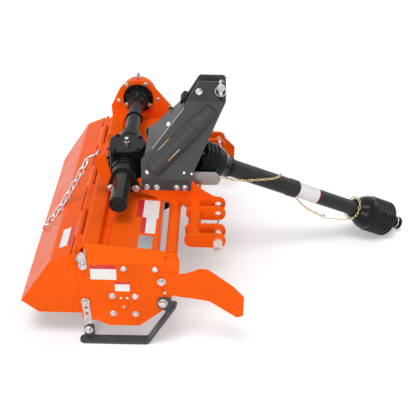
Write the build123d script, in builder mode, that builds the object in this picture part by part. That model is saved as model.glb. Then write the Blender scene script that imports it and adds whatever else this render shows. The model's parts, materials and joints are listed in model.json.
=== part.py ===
"""Compact rotary tiller for a small tractor: hood, gear drive, rotor, hitch and driveline.

Frame: +X points forward (towards the tractor), +Y to the machine's left, +Z up.
The origin is on the ground, in the middle of the machine's footprint as it stands parked.
"""

import os
from math import atan, cos, degrees, radians, sin

from build123d import *

os.makedirs("parts", exist_ok=True)

# ---------------------------------------------------------------- driving dimensions (mm)
pin_x = -40.5  # lower hitch pins, forward of the middle of the footprint
body_y = -2.8  # middle of the hood, left of the middle of the footprint
hitch_offset = 31  # the hitch, gearbox and mast stand this far right of the hood's middle
pto_y = body_y - hitch_offset

hood_half = 505  # hood middle to the right side plate's inner face
left_half = 470  # hood middle to the left side plate's inner face
sheet = 4  # deck, tailgate and deflector sheet
side_sheet = 5
left_sheet = 6
bend = 7  # outside bend radius of folded sheet
pin_play = 0.08  # radial play of a pin in its hole

rotor_x = pin_x - 319
rotor_z = 163
chain_r = 3
shaft_x = pin_x - 344  # cross shaft, above the rotor
shaft_z = 475
hinge_x = pin_x - 479  # tailgate hinge
hinge_z = 371
toolbar_x = pin_x - 156
toolbar_z = 361
toolbar_r = 21
pin_z = 365

right_in = body_y - hood_half
right_out = right_in - side_sheet
left_in = body_y + left_half
left_out = left_in + left_sheet


def side(y):
    """A plane seen from the machine's right: local x forward, local y up, normal to the right."""
    return Plane(origin=(0, y, 0), x_dir=(1, 0, 0), z_dir=(0, -1, 0))


def save(piece, name):
    """Label a finished piece and write it."""
    piece.part.label = name
    export_step(piece.part, f"parts/{name}.step")


# ---------------------------------------------------------------- side plates
fold_z = 341  # where the right plate's top strip leans in over the deck
lean = 28
strip_rise = 67  # along the leaning strip
lap_y = right_in + sheet  # inner face of the rear lap that carries the straps
lap_rear = -150  # rear edge of the lap, from the rotor
lap_width = 36
bearing_pitch = 78
bearing_bolt_r = 5
side_low = 68

# Outline of a side plate below the fold, as (forward of the rotor, height).
plate_low = [(-117, 98), (-55, side_low), (51, side_low), (130, 138), (158, 174), (190, 299)]

strip_plane = Plane(
    origin=(0, right_out, fold_z),
    x_dir=(1, 0, 0),
    z_dir=(0, -cos(radians(lean)), sin(radians(lean))),
)

with BuildPart() as side_plate_right:
    with BuildSketch(side(right_in)):
        with BuildLine():
            FilletPolyline(
                *[(rotor_x + x, z) for x, z in [(-117, fold_z)] + plate_low + [(192, fold_z)]],
                radius=[0, 8, 10, 10, 10, 10, 8, 0],
                close=True,
            )
        make_face()
        with Locations((rotor_x, rotor_z)):
            with GridLocations(bearing_pitch, bearing_pitch, 2, 2):
                Circle(bearing_bolt_r, mode=Mode.SUBTRACT)
            Circle(16, mode=Mode.SUBTRACT)
    extrude(amount=side_sheet)
    with BuildSketch(strip_plane):
        with BuildLine():
            FilletPolyline(
                *[(rotor_x + x, v) for x, v in [(-117, 0), (192, 0), (190, 20), (168, 38),
                                               (130, 46), (-131, strip_rise)]],
                radius=[0, 0, 18, 18, 40, 4],
                close=True,
            )
        make_face()
    extrude(amount=-side_sheet)
    with BuildSketch(side(lap_y)):
        with BuildLine():
            FilletPolyline(
                (rotor_x + lap_rear, 92),
                (rotor_x + lap_rear + lap_width + 12, 84),
                (rotor_x + lap_rear + lap_width + 12, fold_z),
                (rotor_x + lap_rear + 10, 384),
                (rotor_x + lap_rear, 378),
                radius=[6, 2, 2, 8, 8],
                close=True,
            )
        make_face()
    extrude(amount=sheet)
save(side_plate_right, "side_plate_right")

arch_r = 78
with BuildPart() as side_plate_left:
    with BuildSketch(side(left_in)):
        with BuildLine():
            FilletPolyline(
                *[(rotor_x + x, z) for x, z in [(-150, 92)] + plate_low + [
                    (192, 341), (150, 396), (108, 449), (22, 553), (-85, 553),
                    (-140, 436), (-136, 380), (-150, 374)]],
                radius=[6, 8, 10, 10, 10, 10, 8, 12, 10, 20, arch_r, arch_r, 12, 6, 6],
                close=True,
            )
        make_face()
        with Locations((rotor_x, rotor_z)):
            Circle(24, mode=Mode.SUBTRACT)
        with Locations((shaft_x, shaft_z)):
            Circle(24, mode=Mode.SUBTRACT)
    extrude(amount=-left_sheet)
save(side_plate_left, "side_plate_left")

# Closed gear case on the left, drive from the cross shaft down to the rotor.
case_depth = 66
case_top_r = 72
case_low_r = 90
with BuildPart() as gear_case:
    with BuildSketch(side(left_out)):
        with Locations((shaft_x, shaft_z)):
            Circle(case_top_r)
        with Locations((rotor_x, rotor_z)):
            Circle(case_low_r)
        make_hull()
    extrude(amount=-case_depth)
    fillet(gear_case.faces().sort_by(Axis.Y)[-1].edges(), 12)
    with BuildSketch(side(left_out + case_depth)):
        with Locations((rotor_x, rotor_z)):
            Circle(34)
        with Locations((shaft_x, shaft_z)):
            Circle(30)
    extrude(amount=-5)
    with BuildSketch(side(left_out)):
        with Locations((rotor_x, rotor_z)):
            Circle(22)
        with Locations((shaft_x, shaft_z)):
            Circle(22)
    extrude(amount=-30, mode=Mode.SUBTRACT)
save(gear_case, "gear_case")

breather_r = 7
with BuildPart() as case_breather:
    with BuildSketch(Plane.XY.offset(shaft_z + case_top_r - 1)):
        with Locations((shaft_x, left_out + 30)):
            Circle(breather_r)
    extrude(amount=27)
    with BuildSketch(Plane.XY.offset(shaft_z + case_top_r + 6)):
        with Locations((shaft_x, left_out + 30)):
            RegularPolygon(11, 6)
    extrude(amount=8)
    with BuildSketch(side(left_out + 60)):
        with Locations((shaft_x, shaft_z)):
            Circle(case_top_r)
    extrude(amount=60, mode=Mode.SUBTRACT)
save(case_breather, "case_breather")

# ---------------------------------------------------------------- deck
deck_front = 122
# Top line of the folded deck sheet, rear to front, as (forward of the rotor, height).
deck_line = [(-146, 379), (-134, 396), (-84, 390), (-77, 364), (-55, 363), (-48, 389),
             (deck_front - 6, 377), (deck_front, 352)]
# The deck's gutter, welded under its rear edge and round the hinge, from the hinge's axis.
gutter_line = [(9, -25), (22, -19), (28, -2), (29, 21)]
lip_sheet = 3
strip_inside = Plane(
    origin=strip_plane.origin - strip_plane.z_dir * (side_sheet + 0.2),
    x_dir=(1, 0, 0),
    z_dir=-strip_plane.z_dir,
)
with BuildPart() as deck:
    with BuildSketch(side(left_in - 0.2)):
        with BuildLine():
            deck_path = FilletPolyline(*[(rotor_x + x, z) for x, z in deck_line], radius=bend)
            offset(deck_path, amount=sheet, side=Side.RIGHT)
        make_face()
    extrude(amount=left_half + hood_half - 0.4)
    with BuildSketch(side(left_in - 6)):
        with BuildLine():
            gutter_path = FilletPolyline(*[(hinge_x + x, hinge_z + z) for x, z in gutter_line],
                                         radius=10)
            offset(gutter_path, amount=lip_sheet, side=Side.LEFT)
        make_face()
    extrude(amount=left_half + hood_half - 26)
    split(bisect_by=strip_inside, keep=Keep.TOP)
save(deck, "deck")

# Round toolbar across the front of the hood, closed at its right end.
toolbar_wall = 4
bore_end = strip_inside.offset(8)
with BuildPart() as toolbar_bore:
    with BuildSketch(side(left_in)):
        with Locations((toolbar_x, toolbar_z)):
            Circle(toolbar_r - toolbar_wall)
    extrude(amount=left_half + hood_half)
    split(bisect_by=bore_end, keep=Keep.TOP)
with BuildPart() as toolbar:
    with BuildSketch(side(left_in)):
        with Locations((toolbar_x, toolbar_z)):
            Circle(toolbar_r)
    extrude(amount=left_half + hood_half)
    split(bisect_by=strip_inside, keep=Keep.TOP)
    add(toolbar_bore.part, mode=Mode.SUBTRACT)
save(toolbar, "toolbar")

# ---------------------------------------------------------------- tailgate and its hinge
rod_r = 6
knuckle_r = 10
tailgate_half = 495
wing_sheet = 4
bend_x, bend_z = hinge_x - 87, 333
tail_x, tail_z = hinge_x - 203, 156
tail_front = Vector(hinge_x - 17, hinge_z - 6)
tail_line = [(tail_front.X, tail_front.Y), (bend_x, bend_z), (tail_x, tail_z)]
knuckle_length = 150
lip_r = 17  # inside of the tailgate's lip, which curls under the hinge
tailgate_knuckles = [-320, 0, 320]  # their middles, from the hood's middle

with BuildPart() as tailgate:
    with BuildSketch(side(body_y + tailgate_half)):
        with BuildLine():
            tail_path = FilletPolyline(*tail_line, radius=30)
            offset(tail_path, amount=sheet, side=Side.LEFT)
        make_face()
    extrude(amount=2 * tailgate_half)
    for wing_y in (body_y + tailgate_half, body_y - tailgate_half + wing_sheet):
        with BuildSketch(side(wing_y)):
            with BuildLine():
                FilletPolyline(
                    (tail_front.X - 2, tail_front.Y - 2.4),
                    (bend_x + 2, bend_z - 2.4),
                    (tail_x + 3.4, tail_z + 1.6),
                    (tail_x + 59, tail_z - 47),
                    (hinge_x + 15, tail_z - 47),
                    (hinge_x + 15, hinge_z - 60),
                    (hinge_x - 6, hinge_z - 24),
                    radius=[2, 28, 2, 6, 14, 20, 8],
                    close=True,
                )
            make_face()
        extrude(amount=wing_sheet)
    with BuildSketch(side(body_y + tailgate_half)):
        with BuildLine():
            Polyline(
                (tail_x + 1.5, tail_z + 2.5),
                (tail_x + 18, tail_z - 8),
                (tail_x + 20.5, tail_z - 4.7),
                (tail_x + 5, tail_z + 5.5),
                close=True,
            )
        make_face()
    extrude(amount=2 * tailgate_half)
    with BuildSketch(side(body_y + tailgate_half)):
        with BuildLine():
            lip_path = CenterArc((hinge_x, hinge_z), lip_r, 196, 94)
            offset(lip_path, amount=lip_sheet, side=Side.RIGHT)
        make_face()
    extrude(amount=2 * tailgate_half)
    for knuckle_y in tailgate_knuckles:
        with BuildSketch(side(body_y + knuckle_y + knuckle_length / 2)):
            with Locations((hinge_x, hinge_z)):
                Circle(knuckle_r)
            with BuildLine():
                Polyline(
                    (hinge_x - 3, hinge_z + knuckle_r - 0.5),
                    (tail_front.X - 3, tail_front.Y - 1.3),
                    (tail_front.X - 3, tail_front.Y - 4.5),
                    (hinge_x - 2, hinge_z - knuckle_r + 0.2),
                    close=True,
                )
            make_face()
        extrude(amount=knuckle_length)
        with BuildSketch(side(body_y + knuckle_y + knuckle_length / 2)):
            with Locations((hinge_x, hinge_z)):
                Circle(rod_r + pin_play)
        extrude(amount=knuckle_length, mode=Mode.SUBTRACT)
save(tailgate, "tailgate")

# The deck's own knuckles stand between the tailgate's, welded to its rear edge.
deck_knuckle_ends = [(-490, -398), (-242, -78), (78, 242), (398, 466)]
deck_rear = Vector(rotor_x + deck_line[0][0], deck_line[0][1])
deck_rise = Vector(deck_line[1][0] - deck_line[0][0], deck_line[1][1] - deck_line[0][1]).normalized()
deck_rear_low = deck_rear + Vector(deck_rise.Y, -deck_rise.X) * sheet
with BuildPart() as hinge_knuckles:
    for low_y, high_y in deck_knuckle_ends:
        with BuildSketch(side(body_y + high_y)):
            with Locations((hinge_x, hinge_z)):
                Circle(knuckle_r)
            with BuildLine():
                Polyline(
                    (hinge_x, hinge_z + knuckle_r),
                    (deck_rear.X, deck_rear.Y),
                    (deck_rear_low.X, deck_rear_low.Y),
                    (hinge_x + 6, hinge_z - 8),
                    close=True,
                )
            make_face()
            with Locations((hinge_x, hinge_z)):
                Circle(rod_r, mode=Mode.SUBTRACT)
        extrude(amount=high_y - low_y)
save(hinge_knuckles, "hinge_knuckles")

with BuildPart() as hinge_rod:
    with BuildSketch(side(left_out + 11)):
        with Locations((hinge_x, hinge_z)):
            Circle(rod_r)
    extrude(amount=left_out + 11 - right_in + 3)
    with BuildSketch(side(right_in - 3)):
        with Locations((hinge_x, hinge_z)):
            RegularPolygon(10, 6)
    extrude(amount=7)
save(hinge_rod, "hinge_rod")

# ---------------------------------------------------------------- skids and their straps
strap_sheet = 4
skid_width = 40
skid_bar = 8
lug_sheet = 8
skid_top_bolt = (rotor_x - 134.5, 172)
skid_low_bolt = (rotor_x - 128, 50)
front_lug = (rotor_x + 135, 181)
bolt_r = 6

# Underside of the skid, rear to front, as (forward of the rotor, height).
skid_line = [(-163, 3), (-152, 0), (-46, 0), (82, 1.2), (184, 178)]

for label, outward, plate_out in (("right", -1, right_out), ("left", 1, left_out)):
    lap_out = plate_out if outward > 0 else lap_y - sheet
    bar_middle = plate_out + outward * 4
    with BuildPart() as skid:
        with BuildSketch(side(bar_middle + skid_width / 2)):
            with BuildLine():
                skid_path = FilletPolyline(
                    *[(rotor_x + x, z) for x, z in skid_line], radius=[6, 60, 22]
                )
                offset(skid_path, amount=skid_bar, side=Side.LEFT)
            make_face()
        extrude(amount=skid_width)
        ends = skid.edges().filter_by(lambda e: abs(e.length - skid_bar) < 0.01)
        fillet(ends, skid_width / 2 - 1)
        front_face = plate_out if outward < 0 else plate_out + lug_sheet
        with BuildSketch(side(front_face)):
            with BuildLine():
                FilletPolyline(
                    (front_lug[0] - 20, front_lug[1] + 20),
                    (front_lug[0] + 20, front_lug[1] + 20),
                    (front_lug[0] + 42, front_lug[1] - 6),
                    (front_lug[0] + 20, front_lug[1] - 44),
                    (front_lug[0] - 20, front_lug[1] - 20),
                    radius=[19, 16, 0, 0, 19],
                    close=True,
                )
            make_face()
            with Locations(front_lug):
                Circle(bolt_r, mode=Mode.SUBTRACT)
        extrude(amount=lug_sheet)
        rear_face = lap_out + lug_sheet if outward < 0 else lap_out
        with BuildSketch(side(rear_face)):
            with BuildLine():
                FilletPolyline(
                    (skid_low_bolt[0] - 18, skid_bar - 1),
                    (skid_low_bolt[0] + 18, skid_bar - 1),
                    (skid_low_bolt[0] + 18, skid_low_bolt[1] + 16),
                    (skid_low_bolt[0] - 18, skid_low_bolt[1] + 16),
                    radius=[0, 0, 15, 15],
                    close=True,
                )
            make_face()
            with Locations(skid_low_bolt):
                Circle(bolt_r, mode=Mode.SUBTRACT)
        extrude(amount=lug_sheet)
    save(skid, f"skid_{label}")

    strap_face = lap_out if outward < 0 else lap_out + strap_sheet
    run = Vector(skid_top_bolt[0] - skid_low_bolt[0], skid_top_bolt[1] - skid_low_bolt[1])
    run_angle = run.get_angle(Vector(1, 0))
    with BuildPart() as skid_strap:
        with BuildSketch(side(strap_face)):
            with Locations(Location((skid_low_bolt[0] + run.X / 2, skid_low_bolt[1] + run.Y / 2),
                                    run_angle)):
                SlotCenterToCenter(run.length, 26)
            for share in (0, 0.56, 0.78, 1):
                with Locations((skid_low_bolt[0] + run.X * share, skid_low_bolt[1] + run.Y * share)):
                    Circle(bolt_r, mode=Mode.SUBTRACT)
        extrude(amount=strap_sheet)
    save(skid_strap, f"skid_strap_{label}")

    with BuildPart() as hinge_link:
        with BuildSketch(side(strap_face)):
            with Locations(Location((rotor_x - 135, 347), 96)):
                SlotCenterToCenter(40, 26)
            with Locations((rotor_x - 134, 327)):
                Circle(bolt_r, mode=Mode.SUBTRACT)
        extrude(amount=strap_sheet)
    save(hinge_link, f"hinge_link_{label}")

# ---------------------------------------------------------------- front deflectors
flare = 7.5  # the front part bends outward
flare_x = rotor_x + 203
deflector_tab = [(125, 309), (190, 303), (203, 305), (203, 204), (172, 210), (160, 214)]
deflector_nose = [(0, 305), (12, 308), (58, 333), (86, 333), (173, 272), (211, 231), (211, 150),
                  (188, 141), (93, 200), (22, 205), (0, 204)]
deflector_holes = [(131.5, 271), (141, 221)]
for label, outward, plate_out, back in (("right", -1, right_out, 0), ("left", 1, left_out, 20)):
    turn = radians(flare) * outward
    nose_plane = Plane(
        origin=(flare_x - back, plate_out, 0),
        x_dir=(cos(turn), sin(turn), 0),
        z_dir=(sin(turn), -cos(turn), 0),
    )
    with BuildPart() as deflector:
        with BuildSketch(side(plate_out)):
            with BuildLine():
                Polyline(*[(rotor_x + x - back, z) for x, z in deflector_tab], close=True)
            make_face()
            with Locations(*[(rotor_x + x - back, z) for x, z in deflector_holes]):
                Circle(bolt_r, mode=Mode.SUBTRACT)
        extrude(amount=-outward * sheet)
        with BuildSketch(nose_plane):
            with BuildLine():
                FilletPolyline(*deflector_nose, radius=[0, 10, 20, 15, 12, 8, 8, 4, 30, 30, 0],
                               close=True)
            make_face()
        extrude(amount=-outward * sheet)
    save(deflector, f"deflector_{label}")

# ---------------------------------------------------------------- rotor
axle_r = 15
axle_play = 0.05
tube_r = 32
tube_half_right = hood_half - 50
tube_half_left = left_half - 24
flange_r = 78
flange_sheet = 8
tip_r = 148
tine_width = 60  # reach of a tine's bent foot, along the rotor
tine_sheet = 7
flange_count = 6
flange_pitch = 158
tines_each = 4
flange_twist = 25
tine_root = 42
tine_roll = 34  # outside radius where a tine's leg rolls over into its foot

with BuildPart() as bearing_right:
    with BuildSketch(side(right_in + 12)):
        with Locations((rotor_x, rotor_z)):
            RectangleRounded(108, 108, 14)
            with GridLocations(bearing_pitch, bearing_pitch, 2, 2):
                Circle(bearing_bolt_r, mode=Mode.SUBTRACT)
    extrude(amount=12)
    with BuildSketch(side(right_in + 36)):
        with Locations((rotor_x, rotor_z)):
            Circle(34)
    extrude(amount=24)
    fillet(bearing_right.faces().sort_by(Axis.Y)[-1].edges(), 4)
    with BuildSketch(side(right_in + 36)):
        with Locations((rotor_x, rotor_z)):
            Circle(axle_r + axle_play)
    extrude(amount=36, mode=Mode.SUBTRACT)
save(bearing_right, "bearing_right")

# Painted cap over the axle's end, with its grease nipple.
with BuildPart() as bearing_cap:
    with BuildSketch(side(right_out)):
        with Locations((rotor_x, rotor_z)):
            Circle(18)
    extrude(amount=5)
    fillet(bearing_cap.faces().sort_by(Axis.Y)[0].edges(), 2.5)
    with BuildSketch(side(right_out - 5)):
        with Locations((rotor_x, rotor_z)):
            Circle(4)
    extrude(amount=5)
save(bearing_cap, "bearing_cap")

flange_places = [
    body_y + (i - (flange_count - 1) / 2) * flange_pitch - 15 for i in range(flange_count)
]
with BuildPart() as rotor_shaft:
    with BuildSketch(side(body_y + tube_half_left)):
        with Locations((rotor_x, rotor_z)):
            Circle(tube_r)
    extrude(amount=tube_half_left + tube_half_right)
    with BuildSketch(side(left_out + 26)):
        with Locations((rotor_x, rotor_z)):
            Circle(20)
    extrude(amount=left_out + 26 - body_y - tube_half_left)
    with BuildSketch(side(body_y - tube_half_right)):
        with Locations((rotor_x, rotor_z)):
            Circle(axle_r)
    extrude(amount=body_y - tube_half_right - right_in - 4)
save(rotor_shaft, "rotor_shaft")

with BuildPart() as rotor_flanges:
    for flange_y in flange_places:
        with BuildSketch(side(flange_y + flange_sheet)):
            with Locations((rotor_x, rotor_z)):
                Circle(flange_r)
                Circle(tube_r, mode=Mode.SUBTRACT)
        extrude(amount=flange_sheet)
save(rotor_flanges, "rotor_flanges")



def make_tine(flange_y, angle, hand):
    """One curved tine: a leg up from the flange, rolled over into a foot, cut as a scimitar.

    hand is +1 when the foot reaches to the left and -1 when it reaches to the right.
    """
    with BuildPart() as tine:
        with BuildSketch(Plane.YZ.offset(-60)):
            with BuildLine():
                section = FilletPolyline(
                    (0, tine_root),
                    (0, tip_r),
                    (tine_width, tip_r - 5),
                    radius=tine_roll,
                )
                offset(section, amount=tine_sheet, side=Side.RIGHT)
            make_face()
        extrude(amount=120)
        with BuildSketch(Plane.XZ.offset(-120)):
            with BuildLine():
                heel = Line((-20, tine_root - 1), (-20, 84))
                rear = ThreePointArc(heel @ 1, (-27, 120), (-46, tip_r + 8))
                top = Line(rear @ 1, (-4, tip_r + 8))
                front = ThreePointArc(top @ 1, (15, 114), (20, 84))
                toe = Line(front @ 1, (20, tine_root - 1))
                Line(toe @ 1, heel @ 0)
            make_face()
        extrude(amount=240, mode=Mode.INTERSECT)
        with BuildSketch(Plane.XZ.offset(-120)):
            Circle(tip_r)
        extrude(amount=240, mode=Mode.INTERSECT)
    shape = tine.part if hand > 0 else tine.part.mirror(Plane.XZ)
    seat = flange_y + flange_sheet if hand > 0 else flange_y
    turned = shape.rotate(Axis.Y, angle)
    return turned.translate(Vector(rotor_x, seat, rotor_z))


for label, hand in (("left", 1), ("right", -1)):
    # Inner flanges carry two tines of each hand; the end flanges carry theirs all inward.
    tines = []
    for i, flange_y in enumerate(flange_places):
        inward_end = (i == 0 and hand > 0) or (i == flange_count - 1 and hand < 0)
        outward_end = (i == 0 and hand < 0) or (i == flange_count - 1 and hand > 0)
        if outward_end:
            continue
        for j in range(tines_each):
            if inward_end or (j % 2 == 0) == (hand > 0):
                angle = j * 360 / tines_each + i * flange_twist
                tines.append(make_tine(flange_y, angle, hand))
    tine_set = Compound(label=f"tines_{label}_hand", children=tines)
    export_step(tine_set, f"parts/tines_{label}_hand.step")

# ---------------------------------------------------------------- bracket plates and toolbar
bracket_y = 139  # hitch centre to a bracket plate's outer face
bracket_sheet = 10
bracket_in = bracket_y - bracket_sheet
hub_r = 44  # the gearbox's side hubs, which the bracket plates cradle
ear_r = 27
ear_hole_r = 11.2
# Lower outline of a bracket plate, as (forward of the lower pins, height). The tongue, the
# plain rear and the top are (forward of the lower pins, above the cross shaft).
bracket_low = [(0, 338), (-111, 341), (-140, 368), (-195, 368), (-195.5, 378), (-212, 377.7),
               (-222, 378.42), (-229, 391), (-286, 410), (-388, 416), (-405, 437), (-428, 456)]
bracket_tongue = [(-434, 17), (-444, 47), (-443, 58), (-435, 86), (-408, 90)]
bracket_plain = [(-434, 17), (-424, 30), (-404, 22)]
bracket_top = [(-386, 2), (-378, -28), (-306, -28), (-290, -11), (-96, -16)]
bracket_nose = [(-64, 425), (-20, 396), (13, 388), (20, 365)]
chain_hole = (-435, shaft_z + 78)

for label, hand, rear in (("right", -1, bracket_tongue), ("left", 1, bracket_plain)):
    face_y = pto_y - bracket_y if hand < 0 else pto_y + bracket_y
    upper = [(x, shaft_z + z) for x, z in rear + bracket_top]
    outline = bracket_low + upper + bracket_nose
    corner_radii = [0, 30, 6, 1, 1, 1, 2, 8, 40, 20, 20, 40, 30]
    corner_radii += [8, 8, 12, 10] if hand < 0 else [8, 8]
    corner_radii += [20, 6, 6, 10, 12, 30, 30, 2, 2]
    with BuildPart() as bracket:
        with BuildSketch(side(face_y)):
            with BuildLine():
                FilletPolyline(*[(pin_x + x, z) for x, z in outline], radius=corner_radii,
                               close=True)
            make_face()
            with Locations((pin_x, pin_z)):
                Circle(ear_r)
                Circle(ear_hole_r, mode=Mode.SUBTRACT)
            with Locations((toolbar_x, toolbar_z)):
                Circle(toolbar_r, mode=Mode.SUBTRACT)
            with Locations((shaft_x, shaft_z)):
                Circle(hub_r, mode=Mode.SUBTRACT)
            if hand < 0:
                with Locations((pin_x + chain_hole[0], chain_hole[1])):
                    Circle(chain_r + 0.3, mode=Mode.SUBTRACT)
        extrude(amount=bracket_sheet * hand)
    save(bracket, f"bracket_{label}")

# Plate across the front between the brackets, with a cradle for the input shield.
shield_r = 94
shield_sheet = 3
cross_x = -73
cross_low = 341
with BuildPart() as cross_plate:
    with BuildSketch(Plane.YZ.offset(pin_x + cross_x)):
        with Locations((pto_y, cross_low)):
            Rectangle(2 * bracket_in, shaft_z - 50 - cross_low, align=(Align.CENTER, Align.MIN))
        with Locations((pto_y, shaft_z)):
            Circle(shield_r + shield_sheet, mode=Mode.SUBTRACT)
    extrude(amount=8)
save(cross_plate, "cross_plate")

shield_back, shield_front = -141, 9
with BuildPart() as input_shield:
    with BuildSketch(Plane.YZ.offset(pin_x + shield_back)):
        with Locations((pto_y, shaft_z)):
            Circle(shield_r + shield_sheet)
            Circle(shield_r, mode=Mode.SUBTRACT)
            Rectangle(240, 120, align=(Align.CENTER, Align.MIN), mode=Mode.SUBTRACT)
    extrude(amount=shield_front - shield_back)
    with BuildSketch(side(pto_y + 120)):
        with BuildLine():
            FilletPolyline(
                (pin_x - 12, shaft_z + 1),
                (pin_x + 9, shaft_z - 26),
                (pin_x - 4, shaft_z - 72),
                (pin_x - 46, shaft_z - 99),
                (pin_x - 46, shaft_z - 120),
                (pin_x + 30, shaft_z - 120),
                (pin_x + 30, shaft_z + 1),
                radius=[0, 16, 30, 0, 0, 0, 0],
                close=True,
            )
        make_face()
    extrude(amount=240, mode=Mode.SUBTRACT)
save(input_shield, "input_shield")

# ---------------------------------------------------------------- lower hitch
ear_sheet = 12
ear_faces = [204, 314, 373.5]  # hitch centre to each ear's outer face
ear_back = -91
boss_x = -83
boss_r = 23
pin_r = 11
pin_head = 8
head_play = 0.1  # between a pin's head and the plate it stops on
for label, hand in (("right", -1), ("left", 1)):
    with BuildPart() as clevis:
        for face in ear_faces:
            with BuildSketch(side(pto_y + hand * face)):
                with BuildLine():
                    FilletPolyline(
                        (pin_x + ear_back - 25, pin_z + 25),
                        (pin_x, pin_z + ear_r),
                        (pin_x, pin_z - ear_r),
                        (pin_x + ear_back - 25, pin_z - 25),
                        radius=[24, 0, 0, 24],
                        close=True,
                    )
                make_face()
                with Locations((pin_x, pin_z)):
                    Circle(ear_r)
            extrude(amount=ear_sheet * hand)
        with BuildSketch(side(pto_y + hand * ear_faces[-1] - hand)):
            with Locations((pin_x + boss_x, pin_z)):
                Circle(boss_r)
        extrude(amount=(ear_faces[-1] - bracket_y - 1) * hand)
        for face, hole_r in zip(ear_faces, (ear_hole_r, pin_r + pin_play, pin_r + pin_play)):
            with BuildSketch(side(pto_y + hand * face)):
                with Locations((pin_x, pin_z)):
                    Circle(hole_r)
            extrude(amount=ear_sheet * hand, mode=Mode.SUBTRACT)
    save(clevis, f"hitch_ears_{label}")

    with BuildPart() as hitch_pin:
        with BuildSketch(side(pto_y + hand * (ear_faces[-1] + pin_head))):
            with Locations((pin_x, pin_z - 12)):
                SlotCenterToCenter(22, 31, rotation=90)
            with Locations((pin_x, pin_z - 24)):
                Circle(4, mode=Mode.SUBTRACT)
        extrude(amount=(pin_head - head_play) * hand)
        with BuildSketch(side(pto_y + hand * (ear_faces[-1] + pin_head))):
            with Locations((pin_x, pin_z)):
                Circle(pin_r)
        extrude(amount=(pin_head + ear_faces[-1] - ear_faces[1] + ear_sheet + 22) * hand)
    save(hitch_pin, f"hitch_pin_{label}")

# ---------------------------------------------------------------- mast
mast_sheet = 6
mast_foot = bracket_y + mast_sheet  # hitch centre to the foot's outer face
mast_head = 31
fold_low, fold_high = shaft_z - 5, shaft_z + 253
# Outline of a mast plate, as (forward of the lower pins, above the cross shaft).
mast_line = [(-278, -51), (-281, 59), (-242, 95), (-130, 236), (-123, 252), (-78, 329),
             (16, 329), (18, 253), (-100, 3), (-100, -51)]
mast_radii = [3, 8, 10, 6, 6, 12, 14, 6, 6, 3]
top_pin_r = 9.5
top_pin = (-1, shaft_z + 310)
slot_middle = shaft_z + 297
mast_slot_low = shaft_z + 263
mast_tan = (mast_foot - mast_head) / (fold_high - fold_low)
mast_lean = degrees(atan(mast_tan))

for label, hand in (("right", -1), ("left", 1)):
    with BuildPart() as mast_plate:
        with BuildSketch(Plane.YZ.offset(pin_x - 290)):
            with BuildLine():
                mast_path = FilletPolyline(
                    (pto_y + hand * mast_foot, fold_low - 50),
                    (pto_y + hand * mast_foot, fold_low),
                    (pto_y + hand * mast_head, fold_high),
                    (pto_y + hand * mast_head, fold_high + 82),
                    radius=12,
                )
                offset(mast_path, amount=mast_sheet, side=Side.RIGHT if hand < 0 else Side.LEFT)
            make_face()
        extrude(amount=320)
        with BuildSketch(side(pto_y + 160)):
            with BuildLine():
                FilletPolyline(*[(pin_x + x, shaft_z + z) for x, z in mast_line],
                               radius=mast_radii, close=True)
            make_face()
        extrude(amount=320, mode=Mode.INTERSECT)
        with BuildSketch(side(pto_y + hand * (mast_head + 2))):
            with Locations((pin_x + top_pin[0], top_pin[1])):
                Circle(top_pin_r + pin_play)
            with Locations((pin_x + top_pin[0], slot_middle)):
                Circle(14)
            with Locations((pin_x + top_pin[0], (mast_slot_low + slot_middle) / 2)):
                SlotCenterToCenter(slot_middle - mast_slot_low, 15, rotation=90)
        extrude(amount=hand * (mast_sheet + 4), mode=Mode.SUBTRACT)
    save(mast_plate, f"mast_plate_{label}")

with BuildPart() as mast_cover:
    with BuildSketch(side(pto_y + 120)):
        with BuildLine():
            cover_path = FilletPolyline(
                (pin_x - 268, shaft_z + 72.9),
                (pin_x - 242, shaft_z + 96.5),
                (pin_x - 131, shaft_z + 236),
                radius=10,
            )
            offset(cover_path, amount=3, side=Side.RIGHT)
        make_face()
    extrude(amount=240)
    with BuildSketch(Plane.YZ.offset(pin_x - 300)):
        inner_low = mast_foot - mast_sheet / cos(radians(mast_lean))
        with BuildLine():
            Polyline(
                (pto_y - inner_low, fold_low),
                (pto_y + inner_low, fold_low),
                (pto_y + inner_low - mast_tan * (fold_high - fold_low), fold_high),
                (pto_y - inner_low + mast_tan * (fold_high - fold_low), fold_high),
                close=True,
            )
        make_face()
    extrude(amount=240, mode=Mode.INTERSECT)
save(mast_cover, "mast_cover")

with BuildPart() as top_link_pin:
    with BuildSketch(side(pto_y + mast_head + 24)):
        with Locations((pin_x + top_pin[0], top_pin[1])):
            Circle(top_pin_r)
    extrude(amount=2 * mast_head + 26)
    with BuildSketch(side(pto_y - mast_head - head_play)):
        with Locations((pin_x + top_pin[0], top_pin[1])):
            Circle(15)
    extrude(amount=10)
    fillet(top_link_pin.faces().sort_by(Axis.Y)[0].edges(), 3)
save(top_link_pin, "top_link_pin")

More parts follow.
